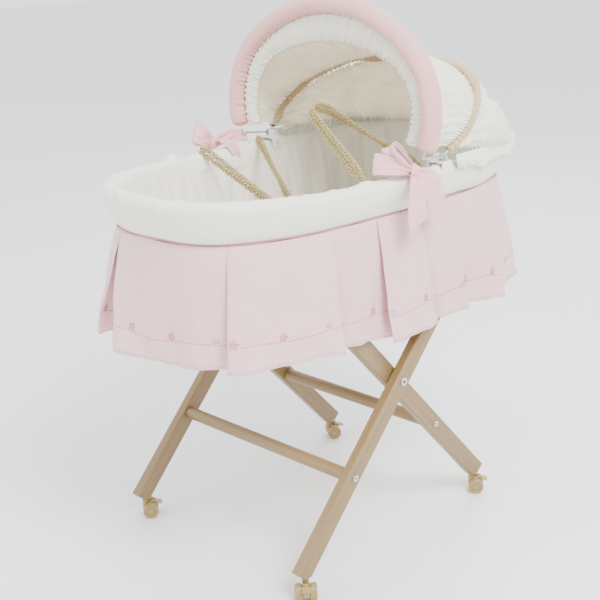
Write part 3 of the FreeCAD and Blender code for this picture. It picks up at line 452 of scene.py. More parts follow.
castor_headings = {"outer_near": 228, "outer_far": -38, "inner_near": -52, "inner_far": -35}
wheel_radius, wheel_width, housing_width, side_gap = 0.015, 0.0125, 0.013, 0.0005
for corner, turn in castor_headings.items():
    low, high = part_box("wheels_" + corner)
    hub = (low + high) / 2
    trail = Vector((math.cos(math.radians(turn)), math.sin(math.radians(turn)), 0))
    axle = Vector((-trail.y, trail.x, 0))
    verts, faces = [], []
    for sign in (-1, 1):
        face = housing_width / 2 + side_gap
        profile = [
            (0.0021, face), (0.0128, face), (0.0146, face + 0.0006), (wheel_radius, face + 0.002),
            (wheel_radius, face + 0.0050), (0.01475, face + 0.0056), (wheel_radius, face + 0.0062),
            (wheel_radius, face + 0.0104), (0.0146, face + 0.0120), (0.0134, face + wheel_width),
            (0.0120, face + 0.0120), (0.0108, face + 0.0114), (0.0072, face + 0.0112),
                   (0.0062, face + 0.0118),
            (0.0056, face + wheel_width), (0.0036, face + wheel_width), (0.0030, face + 0.0119),
                   (0.0012, face + 0.0119),
            (0.0011, face + 0.0112), (0.0002, face + 0.0112),
        ]
        new_verts, new_faces = turned_disc(hub, axle * sign, profile)
        faces += [tuple(len(verts) + v for v in f) for f in new_faces]
        last = len(profile) - 1
        start = len(verts) + last * 64
        faces.append(tuple(range(start, start + 64)))
        back = [len(verts) + number for number in range(64)]
        faces.append(tuple(reversed(back)))
        verts += new_verts
    wheels = fuse("twin_wheels_" + corner, verts, faces, nylon)
    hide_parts("wheels_" + corner)
    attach(wheels, "rollers_" + corner)


# --- Basket: woven maize-leaf shell ---------------------------------------------------------------
# Upright stakes every few centimetres with plaited husk woven in and out of them, from the oval
# base to the rim. The skirt and the liner cover it, and it shows from below and beside the clips.

def dapple(first, second, seed, waves=7):
    """A smooth uneven value of about -1 to 1 at each pair of coordinates, always the same for a seed."""
    draw = np.random.default_rng(seed)
    total = 0.0
    for _ in range(waves):
        turn, pace, shift = draw.uniform(0, 2 * math.pi), draw.uniform(0.6, 1.8), draw.uniform(0, 2 * math.pi)
        bend = 0.8 * np.sin(pace * (second * math.cos(turn) - first * math.sin(turn)) * 0.7 + 2 * shift)
        total = total + np.sin(2 * math.pi * pace * (first * math.cos(turn) + second * math.sin(turn))
                               + shift + bend)
    return total / math.sqrt(waves)


def swell(grid, height, ring=False, tube=False):
    """Move each point of a grid along the surface's own normal by the height given for it."""
    grid = np.asarray(grid, float)
    if ring:
        along = np.roll(grid, -1, axis=1) - np.roll(grid, 1, axis=1)
    else:
        along = np.gradient(grid, axis=1)
    down = np.roll(grid, -1, axis=0) - np.roll(grid, 1, axis=0) if tube else np.gradient(grid, axis=0)
    normal = np.cross(along, down)
    normal /= np.maximum(np.linalg.norm(normal, axis=2, keepdims=True), 1e-9)
    return grid + normal * np.asarray(height)[..., None]


shell_low, shell_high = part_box("basket_shell")
floor_z, mouth_z = shell_low.z, shell_high.z
mouth_half = (shell_high.x, shell_high.y)
base_half = (0.372, 0.166)
wall_thick, floor_thick = 0.007, 0.008
oval_power = 2 / 3


def oval(turn, half_length, half_width):
    """The basket's rounded outline: turn runs from the head end towards the far side."""
    cosine, sine = np.cos(turn), np.sin(turn)
    return (np.sign(cosine) * np.abs(cosine) ** oval_power * half_length,
            np.sign(sine) * np.abs(sine) ** oval_power * half_width)


def even_turns(half_length, half_width, count, start=0.0):
    """Angles that divide the outline into equal lengths, from the angle start round once."""
    fine = start + np.linspace(0, 2 * math.pi, 4001)
    x, y = oval(fine, half_length, half_width)
    run = np.concatenate([[0], np.cumsum(np.hypot(np.diff(x), np.diff(y)))])
    return np.interp(np.linspace(0, run[-1], count, endpoint=False), run, fine), run[-1]


def wall_half(z, inset=0.0):
    share = (z - floor_z) / (mouth_z - floor_z)
    return (base_half[0] + share * (mouth_half[0] - base_half[0]) - inset,
            base_half[1] + share * (mouth_half[1] - base_half[1]) - inset)


stakes, strands_up = 104, 38
turns, _ = even_turns(*mouth_half, stakes * 5)
shell_rows, weave_height = [], []
for share in np.linspace(0.1, 0.96, 26):
    shell_rows.append([(x * share, y * share, floor_z) for x, y in zip(*oval(turns, *base_half))])
    weave_height.append(share * 13)
for share in np.linspace(0, 1, strands_up * 4 + 1):
    z = floor_z + share * (mouth_z - floor_z)
    shell_rows.append([(x, y, z) for x, y in zip(*oval(turns, *wall_half(z)))])
    weave_height.append(13 + share * strands_up)
outside_rows = len(shell_rows)
for z in np.linspace(mouth_z, floor_z + floor_thick, 40):
    shell_rows.append([(x, y, z) for x, y in zip(*oval(turns, *wall_half(z, wall_thick)))])
    weave_height.append(13 + strands_up)
inner_half = wall_half(floor_z + floor_thick, wall_thick)
for share in (0.9, 0.5, 0.1):
    shell_rows.append([(x * share, y * share, floor_z + floor_thick)
                       for x, y in zip(*oval(turns, *inner_half))])
    weave_height.append(13 + strands_up)
stake = np.arange(stakes * 5)[None, :] / 5
strand = np.array(weave_height)[:, None]
over = np.cos(math.pi * stake) * np.where(np.floor(strand) % 2 == 0, 1, -1)
husk = (0.0011 * over + 0.0009) * np.sqrt(np.abs(np.sin(math.pi * strand)) + 0.02)
husk += 0.0004 * dapple(stake * 1.3, strand * 1.1, 5)
husk[outside_rows:] *= 0.0
husk[:outside_rows] *= np.minimum(1, np.arange(outside_rows)[:, None] / 6 + 0.2)


def dried_leaf(name, colour, roughness, fibres, detail, patches, tones, relief, coat=0.0):
    """Plaited leaf or straw: tones are its dark and light fibres, its patches, and the painted shade in its
    hollows.
    """
    material, tree, shader = finish(name, colour, roughness, sheen=0.1, coat=coat)
    dark, light, patchy_tone, hollow_tone = tones
    patch_share, hollow_share, strength, depth = relief
    place = node(tree, "UVMap", uv_map="cloth")
    fibre_space = node(tree, "Mapping", {"Vector": place.outputs["UV"], "Scale": fibres})
    fibre = node(tree, "TexNoise", {"Vector": fibre_space.outputs["Vector"], "Scale": 1.0, "Detail": detail})
    patch = node(tree, "TexNoise", {"Vector": place.outputs["UV"], "Scale": patches, "Detail": 2.0})
    worn_and_shaded = use(tree, wear_and_shade, {})
    blades = mix(tree, fibre.outputs["Fac"], (*dark, 1), (*light, 1))
    spread = span(tree, patch.outputs["Fac"], 0.4, 0.7, 0, patch_share)
    varied = mix(tree, spread, blades, (*patchy_tone, 1))
    # Painted shade: the hollow tone darkens the hollows.
    shaded = mix(tree, span(tree, worn_and_shaded.outputs["Hollow"], 0, 1, 0, hollow_share), varied, (*hollow_tone, 1))
    tree.links.new(shaded, shader.inputs["Base Color"])
    bump = node(tree, "Bump", {"Height": fibre.outputs["Fac"], "Strength": strength, "Distance": depth})
    tree.links.new(bump.outputs["Normal"], shader.inputs["Normal"])
    return material


maize = dried_leaf(
    "maize_husk", (0.62, 0.5, 0.26), 0.7, (40, 900, 1), 4.0, 55.0,
    ((0.50, 0.38, 0.17), (0.74, 0.63, 0.36), (0.62, 0.56, 0.3), (0.2, 0.14, 0.06)), (0.5, 0.85, 0.5, 0.0005))

woven_shell = sheet_mesh("woven_basket", swell(shell_rows, -husk, ring=True), maize, ring=True)
mend(woven_shell)
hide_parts("basket_shell")
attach(woven_shell, "basket")


# --- Liner: quilted cotton over wadding, folded over the rim --------------------------------------
# One long ivory band is padded, drawn over the rim and sewn to the skirt at the piping, with a
# thinner quilted wall hanging inside. It is smooth outside and softly gathered at its seams.

ivory = cloth("ivory_cotton", (0.80, 0.825, 0.72), (0.68, 0.70, 0.58), crumple=0.3, depth=0.003)
band_low, band_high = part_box("rim_band")
lining_low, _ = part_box("lining")
seam_z, cap_z = band_low.z, band_high.z
around = 560
band_turns, band_length = even_turns(*mouth_half, around)
band_run = np.arange(around) / around * band_length
handle_slots = [(-0.111, -1), (0.039, -1), (-0.111, 1), (0.039, 1)]


def smooth_line(points, count):
    """A smooth open line through the points, as count points."""
    points = np.asarray(points, float)
    padded_points = np.concatenate([[2 * points[0] - points[1]], points, [2 * points[-1] - points[-2]]])
    place = np.linspace(0, len(points) - 1, count)
    start = np.minimum(place.astype(int), len(points) - 2)
    part = (place - start)[:, None]
    a, b, c, d = (padded_points[start + shift] for shift in range(4))
    return 0.5 * (2 * b + (c - a) * part + (2 * a - 5 * b + 4 * c - d) * part ** 2
                  + (3 * b - 3 * c + d - a) * part ** 3)


# The padding is flatter along the two long sides, where hands press on it.
rim_dip, slot_line = 0.0065, 0.2045

# Outline of the padded band: distance outside the woven wall, and height.
band_outline = [
    (0.0012, seam_z + 0.0010), (0.0052, seam_z - 0.0004), (0.0105, seam_z + 0.0075),
                (0.0142, seam_z + 0.0240),
    (0.0152, seam_z + 0.0420), (0.0138, mouth_z + 0.0030), (0.0088, cap_z - 0.0026), (0.0005, cap_z + 0.0012),
    (-0.0085, cap_z - 0.0006), (-0.0152, mouth_z + 0.0050), (-0.0168, mouth_z - 0.0080),
    (-0.0162, mouth_z - 0.0300), (-0.0158, mouth_z - 0.0700), (-0.0162, mouth_z - 0.1200),
    (-0.0150, lining_low.z + 0.0010),
]
outline_steps = 76
outline = smooth_line(band_outline, outline_steps)
liner_rows = []
for out, z in outline:
    half = wall_half(min(z, mouth_z + 0.004), -out)
    x, y = oval(band_turns, *half)
    liner_rows.append(np.stack([x, y, np.full_like(x, z)], 1))
liner_rows = np.array(liner_rows)
place_down = np.linspace(0, 1, outline_steps)[:, None]
outer_part = np.clip(1 - place_down / 0.42, 0, 1)
inner_part = np.clip((place_down - 0.5) / 0.5, 0, 1)
top_part = np.exp(-((place_down - 0.47) / 0.09) ** 2)
metre = band_run[None, :]
gathers = np.sin(2 * math.pi * metre / 0.013 + 2 * dapple(metre * 9, metre * 0, 3))
ends_gather = np.exp(-(place_down / 0.05) ** 2) * 0.0011 * gathers
broad = 0.0012 * dapple(metre * 7, place_down * 3, 11) * (0.3 + outer_part)
creases = -0.0016 * np.abs(dapple(metre * 26, place_down * 2 + metre * 3, 12)) ** 3 * top_part * 0.6
drapes = 0.0030 * dapple(metre * 13, place_down * 1.6, 13) * inner_part
fine_drapes = 0.0016 * dapple(metre * 34, place_down * 2.0, 14) * inner_part ** 0.5 * (inner_part > 0)
liner_height = ends_gather + broad + creases + drapes + fine_drapes
for slot_x, slot_side in handle_slots:
    distance = np.hypot(liner_rows[..., 0] - slot_x, liner_rows[..., 1] - slot_side * (slot_line + 0.0005))
    above = liner_rows[..., 2] > mouth_z - 0.02
    pull = np.cos((liner_rows[..., 0] - slot_x) * 520) * np.exp(-(distance / 0.028) ** 2)
    liner_height = liner_height + above * (-0.0050 * np.exp(-(distance / 0.016) ** 2) + 0.0012 * pull)
for tie_x, tie_side in ((-0.004, -1), (-0.030, 1)):
    squeeze = np.exp(-((liner_rows[..., 0] - tie_x) / 0.022) ** 2) * (liner_rows[..., 1] * tie_side > 0.1)
    liner_height = liner_height - 0.0045 * squeeze * (liner_rows[..., 2] > mouth_z - 0.03)
long_side = np.exp(-(liner_rows[..., 0] / 0.25) ** 6)
upper_part = np.clip((liner_rows[..., 2] - seam_z - 0.012) / (cap_z - seam_z - 0.012), 0, 1)
liner_rows[..., 2] -= rim_dip * long_side * upper_part
liner_grid = swell(liner_rows, -liner_height, ring=True)
liner = sheet_mesh("padded_liner", liner_grid, ivory, ring=True)
mend(liner, close=False)
hem_of_liner = liner.modifiers.new("wadding", "SOLIDIFY")
hem_of_liner.thickness = 0.0015
hem_of_liner.offset = -1
apply_modifiers(liner)
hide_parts("rim_band", "lining")
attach(liner, "basket")


# --- Handle slots: four bound slits in the liner --------------------------------------------------
# Each handle end comes up through a slit with a narrow satin-stitched edge.

def tube_mesh(name, path, radius, material, sides=10, closed=False, flat=1.0, up=None):
    """A round or oval tube along a path; radius may be one number or one for each point."""
    path = np.asarray(path, float)
    count = len(path)
    if closed:
        ahead_of = np.roll(path, -1, axis=0) - np.roll(path, 1, axis=0)
    else:
        ahead_of = np.gradient(path, axis=0)
    ahead_of /= np.linalg.norm(ahead_of, axis=1, keepdims=True)
    radius = np.broadcast_to(np.asarray(radius, float), (count,))
    if up is None:
        start = Vector(ahead_of[0]).orthogonal().normalized()
        frames = [np.array(start)]
        for number in range(1, count):
            turn = Vector(ahead_of[number - 1]).rotation_difference(Vector(ahead_of[number]))
            frames.append(np.array((turn @ Vector(frames[-1])).normalized()))
        up = np.array(frames)
    up = np.broadcast_to(np.asarray(up, float), path.shape)
    beside = np.cross(ahead_of, up)
    beside /= np.linalg.norm(beside, axis=1, keepdims=True)
    above = np.cross(beside, ahead_of)
    angle = np.linspace(0, 2 * math.pi, sides, endpoint=False)
    points = (path[:, None] + beside[:, None] * (np.cos(angle)[None, :, None] * radius[:, None, None])
              + above[:, None] * (np.sin(angle)[None, :, None] * radius[:, None, None] * flat))
    piece = sheet_mesh(name, points, material, ring=True, tube=closed)
    if not closed:
        mend(piece, flat_ends=True)
    return piece


def as_one(name, parts):
    """Join pieces into one object with a new name."""
    with bpy.context.temp_override(active_object=parts[0], selected_editable_objects=parts):
        bpy.ops.object.join()
    parts[0].name = name
    return parts[0]


slot_thread = cloth("slot_stitching", (0.80, 0.81, 0.72), (0.6, 0.6, 0.5), threads=3000, crumple=0.5,
                    depth=0.001)
bindings = []
ring_turn = np.linspace(0, 2 * math.pi, 60, endpoint=False)
for slot_x, slot_side in handle_slots:
    nudge = 0.0006 * np.sin(ring_turn * 18)
    loop = np.stack([slot_x + (0.0085 + nudge) * np.cos(ring_turn),
                     slot_side * (slot_line - 0.0005 + 0.0062 * np.sin(ring_turn)),
                     cap_z - rim_dip - 0.0030 + 0.0006 * np.cos(2 * ring_turn)], 1)
    bindings.append(tube_mesh("slot_binding", loop, 0.0013 + nudge * 0.4, slot_thread, closed=True, sides=8))
slot_bindings = as_one("handle_slot_bindings", bindings)
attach(slot_bindings, "basket")


# --- Mattress and coverlet ------------------------------------------------------------------------
# A thin foam mattress in a stitched cover, and a pink quilted coverlet lying on it with a piped
# edge. The coverlet is filled and crowned, and its quilting lines pull it in.

def oval_cushion(name, half, low, high, material, crown, quilting, seed, rings=34, around_count=240):
    """A filled oval cushion, flat below and crowned above, with quilting lines sewn through the top."""
    turns, _ = even_turns(*half, around_count)
    thick = high - low
    rows, heights = [], []
    edge_profile = [(0.06, low), (0.5, low), (0.9, low), (0.975, low + 0.06 * thick),
                    (1.0, low + 0.3 * thick),
                    (1.0, low + 0.62 * thick), (0.985, high - 0.16 * thick), (0.95, high - 0.06 * thick)]
    inward = [(share, high - 0.06 * thick + crown * (1 - (share / 0.95) ** 4))
              for share in np.linspace(0.93, 0.03, rings)]
    for share, z in edge_profile + inward:
        x, y = oval(turns, half[0] * share, half[1] * share)
        rows.append(np.stack([x, y, np.full_like(x, z)], 1))
        heights.append(1.0 if z > high - 0.1 * thick else 0.0)
    grid = np.array(rows)
    x, y = grid[..., 0], grid[..., 1]
    top = np.array(heights)[:, None]
    sewn = np.exp(-(np.minimum(np.abs((x + y) / quilting % 1 - 0.5),
                               np.abs((x - y) / quilting % 1 - 0.5)) / 0.05) ** 2)
    grid[..., 2] += top * (-0.0032 * sewn + 0.0012 * dapple(x * 14, y * 14, seed))
    grid[..., :2] *= 1 + (0.004 * dapple(x * 9, y * 9, seed + 1) * (1 - top))[..., None] * 0.6
    piece = sheet_mesh(name, grid, material, ring=True)
    mend(piece)
    return piece


ticking = cloth("mattress_ticking", (0.84, 0.84, 0.8), (0.7, 0.7, 0.66), crumple=0.2, glow=0.0)
mattress_low, mattress_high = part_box("mattress")
mattress_half = (mattress_high.x, mattress_high.y)
mattress = oval_cushion("foam_mattress", mattress_half, mattress_low.z, mattress_high.z - 0.001, ticking,
                        0.0, 0.09, 31, rings=16, around_count=160)
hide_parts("mattress")
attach(mattress, "basket")

quilt_cotton = cloth("coverlet_cotton", (0.80, 0.50, 0.48), (0.62, 0.34, 0.33), crumple=0.35)
quilt_low, quilt_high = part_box("coverlet")
quilt_half = (quilt_high.x, quilt_high.y)
coverlet = oval_cushion("quilted_coverlet", quilt_half, quilt_low.z, quilt_high.z - 0.002, quilt_cotton,
                        0.006, 0.075, 33)
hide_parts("coverlet")
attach(coverlet, "basket")
quilt_turns, _ = even_turns(*quilt_half, 360)
edge_x, edge_y = oval(quilt_turns, quilt_half[0] * 0.996, quilt_half[1] * 0.996)
edge_z = quilt_high.z - 0.009 + 0.0008 * dapple(edge_x * 12, edge_y * 12, 35)
quilt_piping = tube_mesh("coverlet_piping", np.stack([edge_x, edge_y, edge_z], 1), 0.0022, quilt_cotton,
                         closed=True)
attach(quilt_piping, "basket")


# --- Piping: rose-pink cord covered in cotton -----------------------------------------------------
# Sewn into the seam between the padded band and the skirt, all round the basket.

rose = cloth("rose_piping", (0.56, 0.22, 0.28), (0.38, 0.12, 0.17), threads=2600, crumple=0.3, depth=0.001)
piping_low, piping_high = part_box("piping")
piping_z = (piping_low.z + piping_high.z) / 2
pipe_turns, pipe_length = even_turns(*mouth_half, 900)
pipe_half = wall_half(piping_z, -0.0040)
pipe_x, pipe_y = oval(pipe_turns, *pipe_half)
pipe_run = np.arange(900) / 900 * pipe_length
pipe_path = np.stack([pipe_x, pipe_y, piping_z + 0.0008 * dapple(pipe_run * 8, pipe_run * 0, 41)], 1)
pipe_radius = 0.0021 + 0.00018 * np.sin(2 * math.pi * pipe_run / 0.004)
piping = tube_mesh("rose_piping", pipe_path, pipe_radius, rose, closed=True)
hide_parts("piping")
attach(piping, "basket")


# --- Skirt: pale pink cotton, pleated into the seam -----------------------------------------------
# A long strip with a turned hem, laid in pleats and sewn in under the piping. It flares over the
# frame, and a running stitch with small flowers is worked a hand's breadth above the hem.

skirt_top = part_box("skirt")[1].z
skirt_cotton = cloth("pale_pink_cotton", (0.77, 0.50, 0.51), (0.62, 0.345, 0.36), crease=16.0, crumple=0.4,
                     depth=0.004, glow=0.12)

# Each pleat: angle on the oval, which side laps over (+1 the foot side on the near wall, -1 the head
# side, 0 both sides of a recess), depth at the hem, and how far the recess opens at the hem.
skirt_pleats = [
    (20, 0, 0.022, 0.030), (62, -1, 0.024, 0.0), (100, 1, 0.026, 0.0), (128, -1, 0.026, 0.0),
    (166, 0, 0.034, 0.036), (214, -1, 0.022, 0.0), (252, 1, 0.032, 0.0), (265, -1, 0.026, 0.0),
    (271, 1, 0.020, 0.0), (279, 1, 0.016, 0.0), (297, 1, 0.018, 0.0), (334, 0, 0.022, 0.028),
]
lap, hem_spread, under_piping = 0.022, 0.0405, -0.0064
fine = np.linspace(0, 2 * math.pi, 4001)
fine_x, fine_y = oval(fine, *wall_half(skirt_top, under_piping))
fine_run = np.concatenate([[0], np.cumsum(np.hypot(np.diff(fine_x), np.diff(fine_y)))])
skirt_round = fine_run[-1]


def pleat_line(share):
    """One level of the skirt, 0 at the seam and 1 at the hem: distance round and offset outwards."""
    open_up = share ** 1.2
    knots = []
    places = [np.interp(math.radians(item[0]), fine, fine_run) for item in skirt_pleats]
    for number, (_, kind, deep, opening) in enumerate(skirt_pleats):
        here = places[number]
        fold = 0.0011 + deep * open_up
        lift = 0.004 * share
        if kind == 0:
            gape = 0.0008 + opening * open_up
            knots += [(here - gape - 0.004, lift, 3), (here - gape, lift * 0.8, 3),
                      (here - gape - lap * 0.6, -fold * 0.55, 5),
                      (here - lap * 0.5, -fold * 0.95, 5), (here, -fold, 5),
                      (here + lap * 0.5, -fold * 0.95, 5),
                      (here + gape + lap * 0.6, -fold * 0.55, 5), (here + gape, lift * 0.8, 3),
                      (here + gape + 0.004, lift, 8)]
        elif kind > 0:
            knots += [(here - 0.004, lift, 3), (here, lift * 0.7, 3), (here - lap * 0.5, -fold * 0.35, 4),
                      (here - lap, -fold * 0.6, 4), (here - lap * 0.5, -fold * 0.85, 4),
                      (here + 0.010, -fold * 0.97, 8)]
        else:
            knots += [(here - 0.010, -fold * 0.97, 4), (here + lap * 0.5, -fold * 0.85, 4),
                      (here + lap, -fold * 0.6, 4),
                      (here + lap * 0.5, -fold * 0.35, 3), (here, lift * 0.7, 3), (here + 0.004, lift, 8)]
        following = places[(number + 1) % len(places)] + (skirt_round if number + 1 == len(places) else 0)
        gap = following - here
        next_kind, next_deep = skirt_pleats[(number + 1) % len(places)][1:3]
        first = -fold * 0.97 if kind > 0 else lift
        last = -(0.0011 + next_deep * open_up) * 0.97 if next_kind < 0 else lift
        for part in (0.3, 0.5, 0.72):
            bulge = 0.009 * open_up * math.sin(math.pi * part) * math.cos(5.1 * number + 2)
            knots.append((here + gap * part, first + (last - first) * part + bulge, 9))
    return knots


def skirt_row(share):
    knots = pleat_line(share)
    points = np.array([(k[0], k[1]) for k in knots])
    ring_points = np.concatenate([points[-1:] - (skirt_round, 0), points, points[:2] + (skirt_round, 0)])
    line = []
    for number, knot in enumerate(knots):
        a, b, c, d = ring_points[number:number + 4]
        for part in np.arange(knot[2]) / knot[2]:
            line.append(0.5 * (2 * b + (c - a) * part + (2 * a - 5 * b + 4 * c - d) * part ** 2
                               + (3 * b - 3 * c + d - a) * part ** 3))
    return np.array(line)


skirt_shares = np.linspace(0, 1, 34)
skirt_grid = []
for share in skirt_shares:
    row = skirt_row(share)
    turn = np.interp(row[:, 0] % skirt_round, fine_run, fine)
    flare = share ** 0.85
    half = wall_half(skirt_top, under_piping)
    x, y = oval(turn, half[0] + hem_spread * flare, half[1] + hem_spread * flare)
    x_in, y_in = oval(turn, half[0] + hem_spread * flare - 0.01, half[1] + hem_spread * flare - 0.01)
    outward = np.stack([x - x_in, y - y_in], 1) / 0.01
    outward /= np.maximum(np.linalg.norm(outward, axis=1, keepdims=True), 0.5)
    drop = 0.196 + 0.020 * np.clip((x + 0.35) / 0.6, 0, 1) + 0.004 * dapple(row[:, 0] * 3, row[:, 0] * 0, 51)
    sway = share ** 1.3 * (0.0045 * dapple(row[:, 0] * 9, share * 1.4 + row[:, 0] * 0, 52)
                           + 0.0016 * dapple(row[:, 0] * 24, share * 2.2 + row[:, 0] * 0, 53))
    offset = row[:, 1] + sway
    z = skirt_top - share * drop
    skirt_grid.append(np.stack([x + outward[:, 0] * offset, y + outward[:, 1] * offset, z], 1))
skirt_grid = np.array(skirt_grid)
skirt_grid[-1] += (skirt_grid[-1] - skirt_grid[-2]) * 0.02
skirt = sheet_mesh("pleated_skirt", skirt_grid, skirt_cotton, ring=True, thickness=0.0009)
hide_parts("skirt")


def on_skirt(column, share, away=0.0008):
    """A point of the skirt's outside at a column and a share of its drop."""
    rows, columns = skirt_grid.shape[:2]
    down_place = share * (rows - 1)
    row = min(int(down_place), rows - 2)
    left = int(math.floor(column)) % columns
    right = (left + 1) % columns
    part, fall = column - math.floor(column), down_place - row
    corners = skirt_grid[[row, row, row + 1, row + 1], [left, right, left, right]]
    top = corners[0] * (1 - part) + corners[1] * part
    low = corners[2] * (1 - part) + corners[3] * part
    normal = np.cross(corners[1] - corners[0], corners[2] - corners[0])
    normal /= max(np.linalg.norm(normal), 1e-9)
    return top * (1 - fall) + low * fall - normal * away


hem_roll = tube_mesh("skirt_hem", skirt_grid[-1], 0.0011, skirt_cotton, closed=True, sides=8, flat=1.6,
                     up=(0, 0, 1))
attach(hem_roll, "basket")

coral_thread = cloth("coral_thread", (0.62, 0.17, 0.20), (0.46, 0.1, 0.14), threads=4000, crumple=0.1,
                     glow=0.0)
stitch_level, stitch_wave, stitch_swing, stitch_pitch, motif_pitch = 0.80, 0.16, 0.010, 0.0085, 0.085
columns = skirt_grid.shape[1]
reach = np.linalg.norm(np.diff(np.concatenate([skirt_grid[27], skirt_grid[27][:1]]), axis=0), axis=1)
travel = np.concatenate([[0], np.cumsum(reach)])
stitches = []
stitch_count = int(travel[-1] / stitch_pitch)
for number in range(stitch_count):
    ends = []
    for part in (0.0, 0.33, 0.66):
        at = (number + part) / stitch_count * travel[-1]
        column = np.interp(at, travel, np.arange(columns + 1)) % columns
        ends.append(on_skirt(column, stitch_level + stitch_swing * math.sin(at * 2 * math.pi / stitch_wave)))
    if np.linalg.norm(ends[2] - ends[0]) < 0.012:
        stitches.append(tube_mesh("stitch", ends, 0.00055, coral_thread, sides=5))
motif_count = int(travel[-1] / motif_pitch)
for number in range(motif_count):
    at = (number + 0.3) / motif_count * travel[-1]
    column = np.interp(at, travel, np.arange(columns + 1)) % columns
    rate = columns / travel[-1] * (reach.mean() / max(reach[int(column) % columns], 1e-5))
    petal = np.linspace(0, 2 * math.pi, 41)[:-1]
    size = 0.0075 if number % 3 else 0.0052
    petals = 0.62 + 0.38 * np.cos(5 * petal) if number % 3 else 0.8 + 0.2 * np.cos(2 * petal)
    radius = size * petals
    level_here = stitch_level + stitch_swing * math.sin(at * 2 * math.pi / stitch_wave) - 0.035
    flower = [on_skirt(column + r * math.cos(t) * rate, level_here + r * math.sin(t) / 0.21)
              for r, t in zip(radius, petal)]
    steps_of = np.linalg.norm(np.diff(np.array(flower + flower[:1]), axis=0), axis=1)
    if steps_of.max() < 0.005 and steps_of.min() > 1e-5:
        stitches.append(tube_mesh("flower", flower, 0.0005, coral_thread, sides=5, closed=True))
embroidery = as_one("skirt_embroidery", stitches)
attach(embroidery, "basket")
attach(skirt, "basket")


# --- Hood bows: two sprung steel wires on one pair of pins ----------------------------------------
# The front bow carries the padded arch and the middle bow runs in a casing. Their flattened ends sit
# on the pins of the two white clips pushed over the rim.

for piece in ("hood_front_bow", "hood_mid_bow", "hood_pin_near", "hood_pin_far"):
    repaint(piece, steel)

white_plastic, tree, shader = finish("white_plastic", (0.84, 0.84, 0.83), 0.3, coat=0.2, glow=0.08)
place = node(tree, "TexCoord")
cloudy = node(tree, "TexNoise", {"Vector": place.outputs["Object"], "Scale": 70.0, "Detail": 3.0})
pitted = node(tree, "TexNoise", {"Vector": place.outputs["Object"], "Scale": 1500.0, "Detail": 1.0})
worn_and_shaded = use(tree, wear_and_shade, {})
tone = mix(tree, cloudy.outputs["Fac"], (0.80, 0.80, 0.78, 1), (0.87, 0.87, 0.87, 1))
# Painted shade: the plastic is darkened in its hollows.
painted_hollow_shade = mix(tree, span(tree, worn_and_shaded.outputs["Hollow"], 0, 1, 0, 0.6), tone, (0.5, 0.49, 0.46, 1))
tree.links.new(painted_hollow_shade, shader.inputs["Base Color"])
tree.links.new(span(tree, cloudy.outputs["Fac"], 0.3, 0.7, 0.24, 0.4), shader.inputs["Roughness"])
bump = node(tree, "Bump", {"Height": pitted.outputs["Fac"], "Strength": 0.1, "Distance": 0.0002})
tree.links.new(bump.outputs["Normal"], shader.inputs["Normal"])
repaint("hood_clip_near", white_plastic)
repaint("hood_clip_far", white_plastic)


# --- Padded arch: dusty-pink cotton tube over foam, on the front bow ------------------------------
# Slightly ruched along its inner seam, full and smooth outside, closed with stitched ends.

pin_low, pin_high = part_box("hood_pin_near")
pivot = Vector(((pin_low.x + pin_high.x) / 2, 0, (pin_low.z + pin_high.z) / 2))
arch_half, arch_shoulder, arch_rise, arch_height = 0.242, 0.150, 0.069, 0.254
arch_base_x, arch_base_z, arch_angle = 0.022, pivot.z + 0.008, math.radians(86.6)
mid_angle = math.radians(40)
mid_half, mid_shoulder, mid_reach = 0.234, 0.150, 0.225
pad_radius, pad_start = 0.020, 0.013


def bow_line(half, shoulder, rise, tall, start, count):
    """Evenly spaced points of a horseshoe of a crown arc and two shoulder arcs: (across, up)."""
    height, side = tall - rise, half - shoulder
    crown = (side ** 2 + height ** 2 - shoulder ** 2) / (2 * (height - shoulder))
    crown_up = tall - crown
    turn = math.pi / 2 - math.atan2(side, rise - crown_up)
    dip = -math.asin((rise - start) / shoulder)
    low = np.linspace(dip, turn, 200)
    right = np.stack([side + shoulder * np.cos(low), rise + shoulder * np.sin(low)], 1)
    top = np.linspace(turn, math.pi - turn, 200)[1:-1]
    over = np.stack([crown * np.cos(top), crown_up + crown * np.sin(top)], 1)
    line = np.concatenate([right, over, (right * (-1, 1))[::-1]])[::-1]
    run = np.concatenate([[0], np.cumsum(np.linalg.norm(np.diff(line, axis=0), axis=1))])
    even = np.linspace(0, run[-1], count)
    return np.stack([np.interp(even, run, line[:, 0]), np.interp(even, run, line[:, 1])], 1), run[-1]


def lean_back(line, angle, x, z):
    """Stand points (across, up) in the plane that leans back at an angle from the +X axis."""
    return np.stack([x + line[:, 1] * math.cos(angle), line[:, 0], z + line[:, 1] * math.sin(angle)], 1)


arch_cotton = cloth("dusty_pink_cotton", (0.70, 0.40, 0.38), (0.54, 0.27, 0.26), crease=30.0, crumple=0.3,
                    depth=0.002)
arch_steps = 420
arch_line, arch_length = bow_line(arch_half, arch_shoulder, arch_rise, arch_height, pad_start, arch_steps)
arch_path = lean_back(arch_line, arch_angle, arch_base_x, arch_base_z)


def towards_middle(path, angle):
    """The normal of a leaning bow's plane, and the way to the bow's middle at each of its points."""
    normal = np.array([math.sin(angle), 0, -math.cos(angle)])
    ahead_of = np.gradient(path, axis=0)
    ahead_of /= np.linalg.norm(ahead_of, axis=1, keepdims=True)
    inward = np.cross(ahead_of, normal)
    return normal, inward * -np.sign((inward * (path - path.mean(axis=0))).sum(axis=1, keepdims=True))


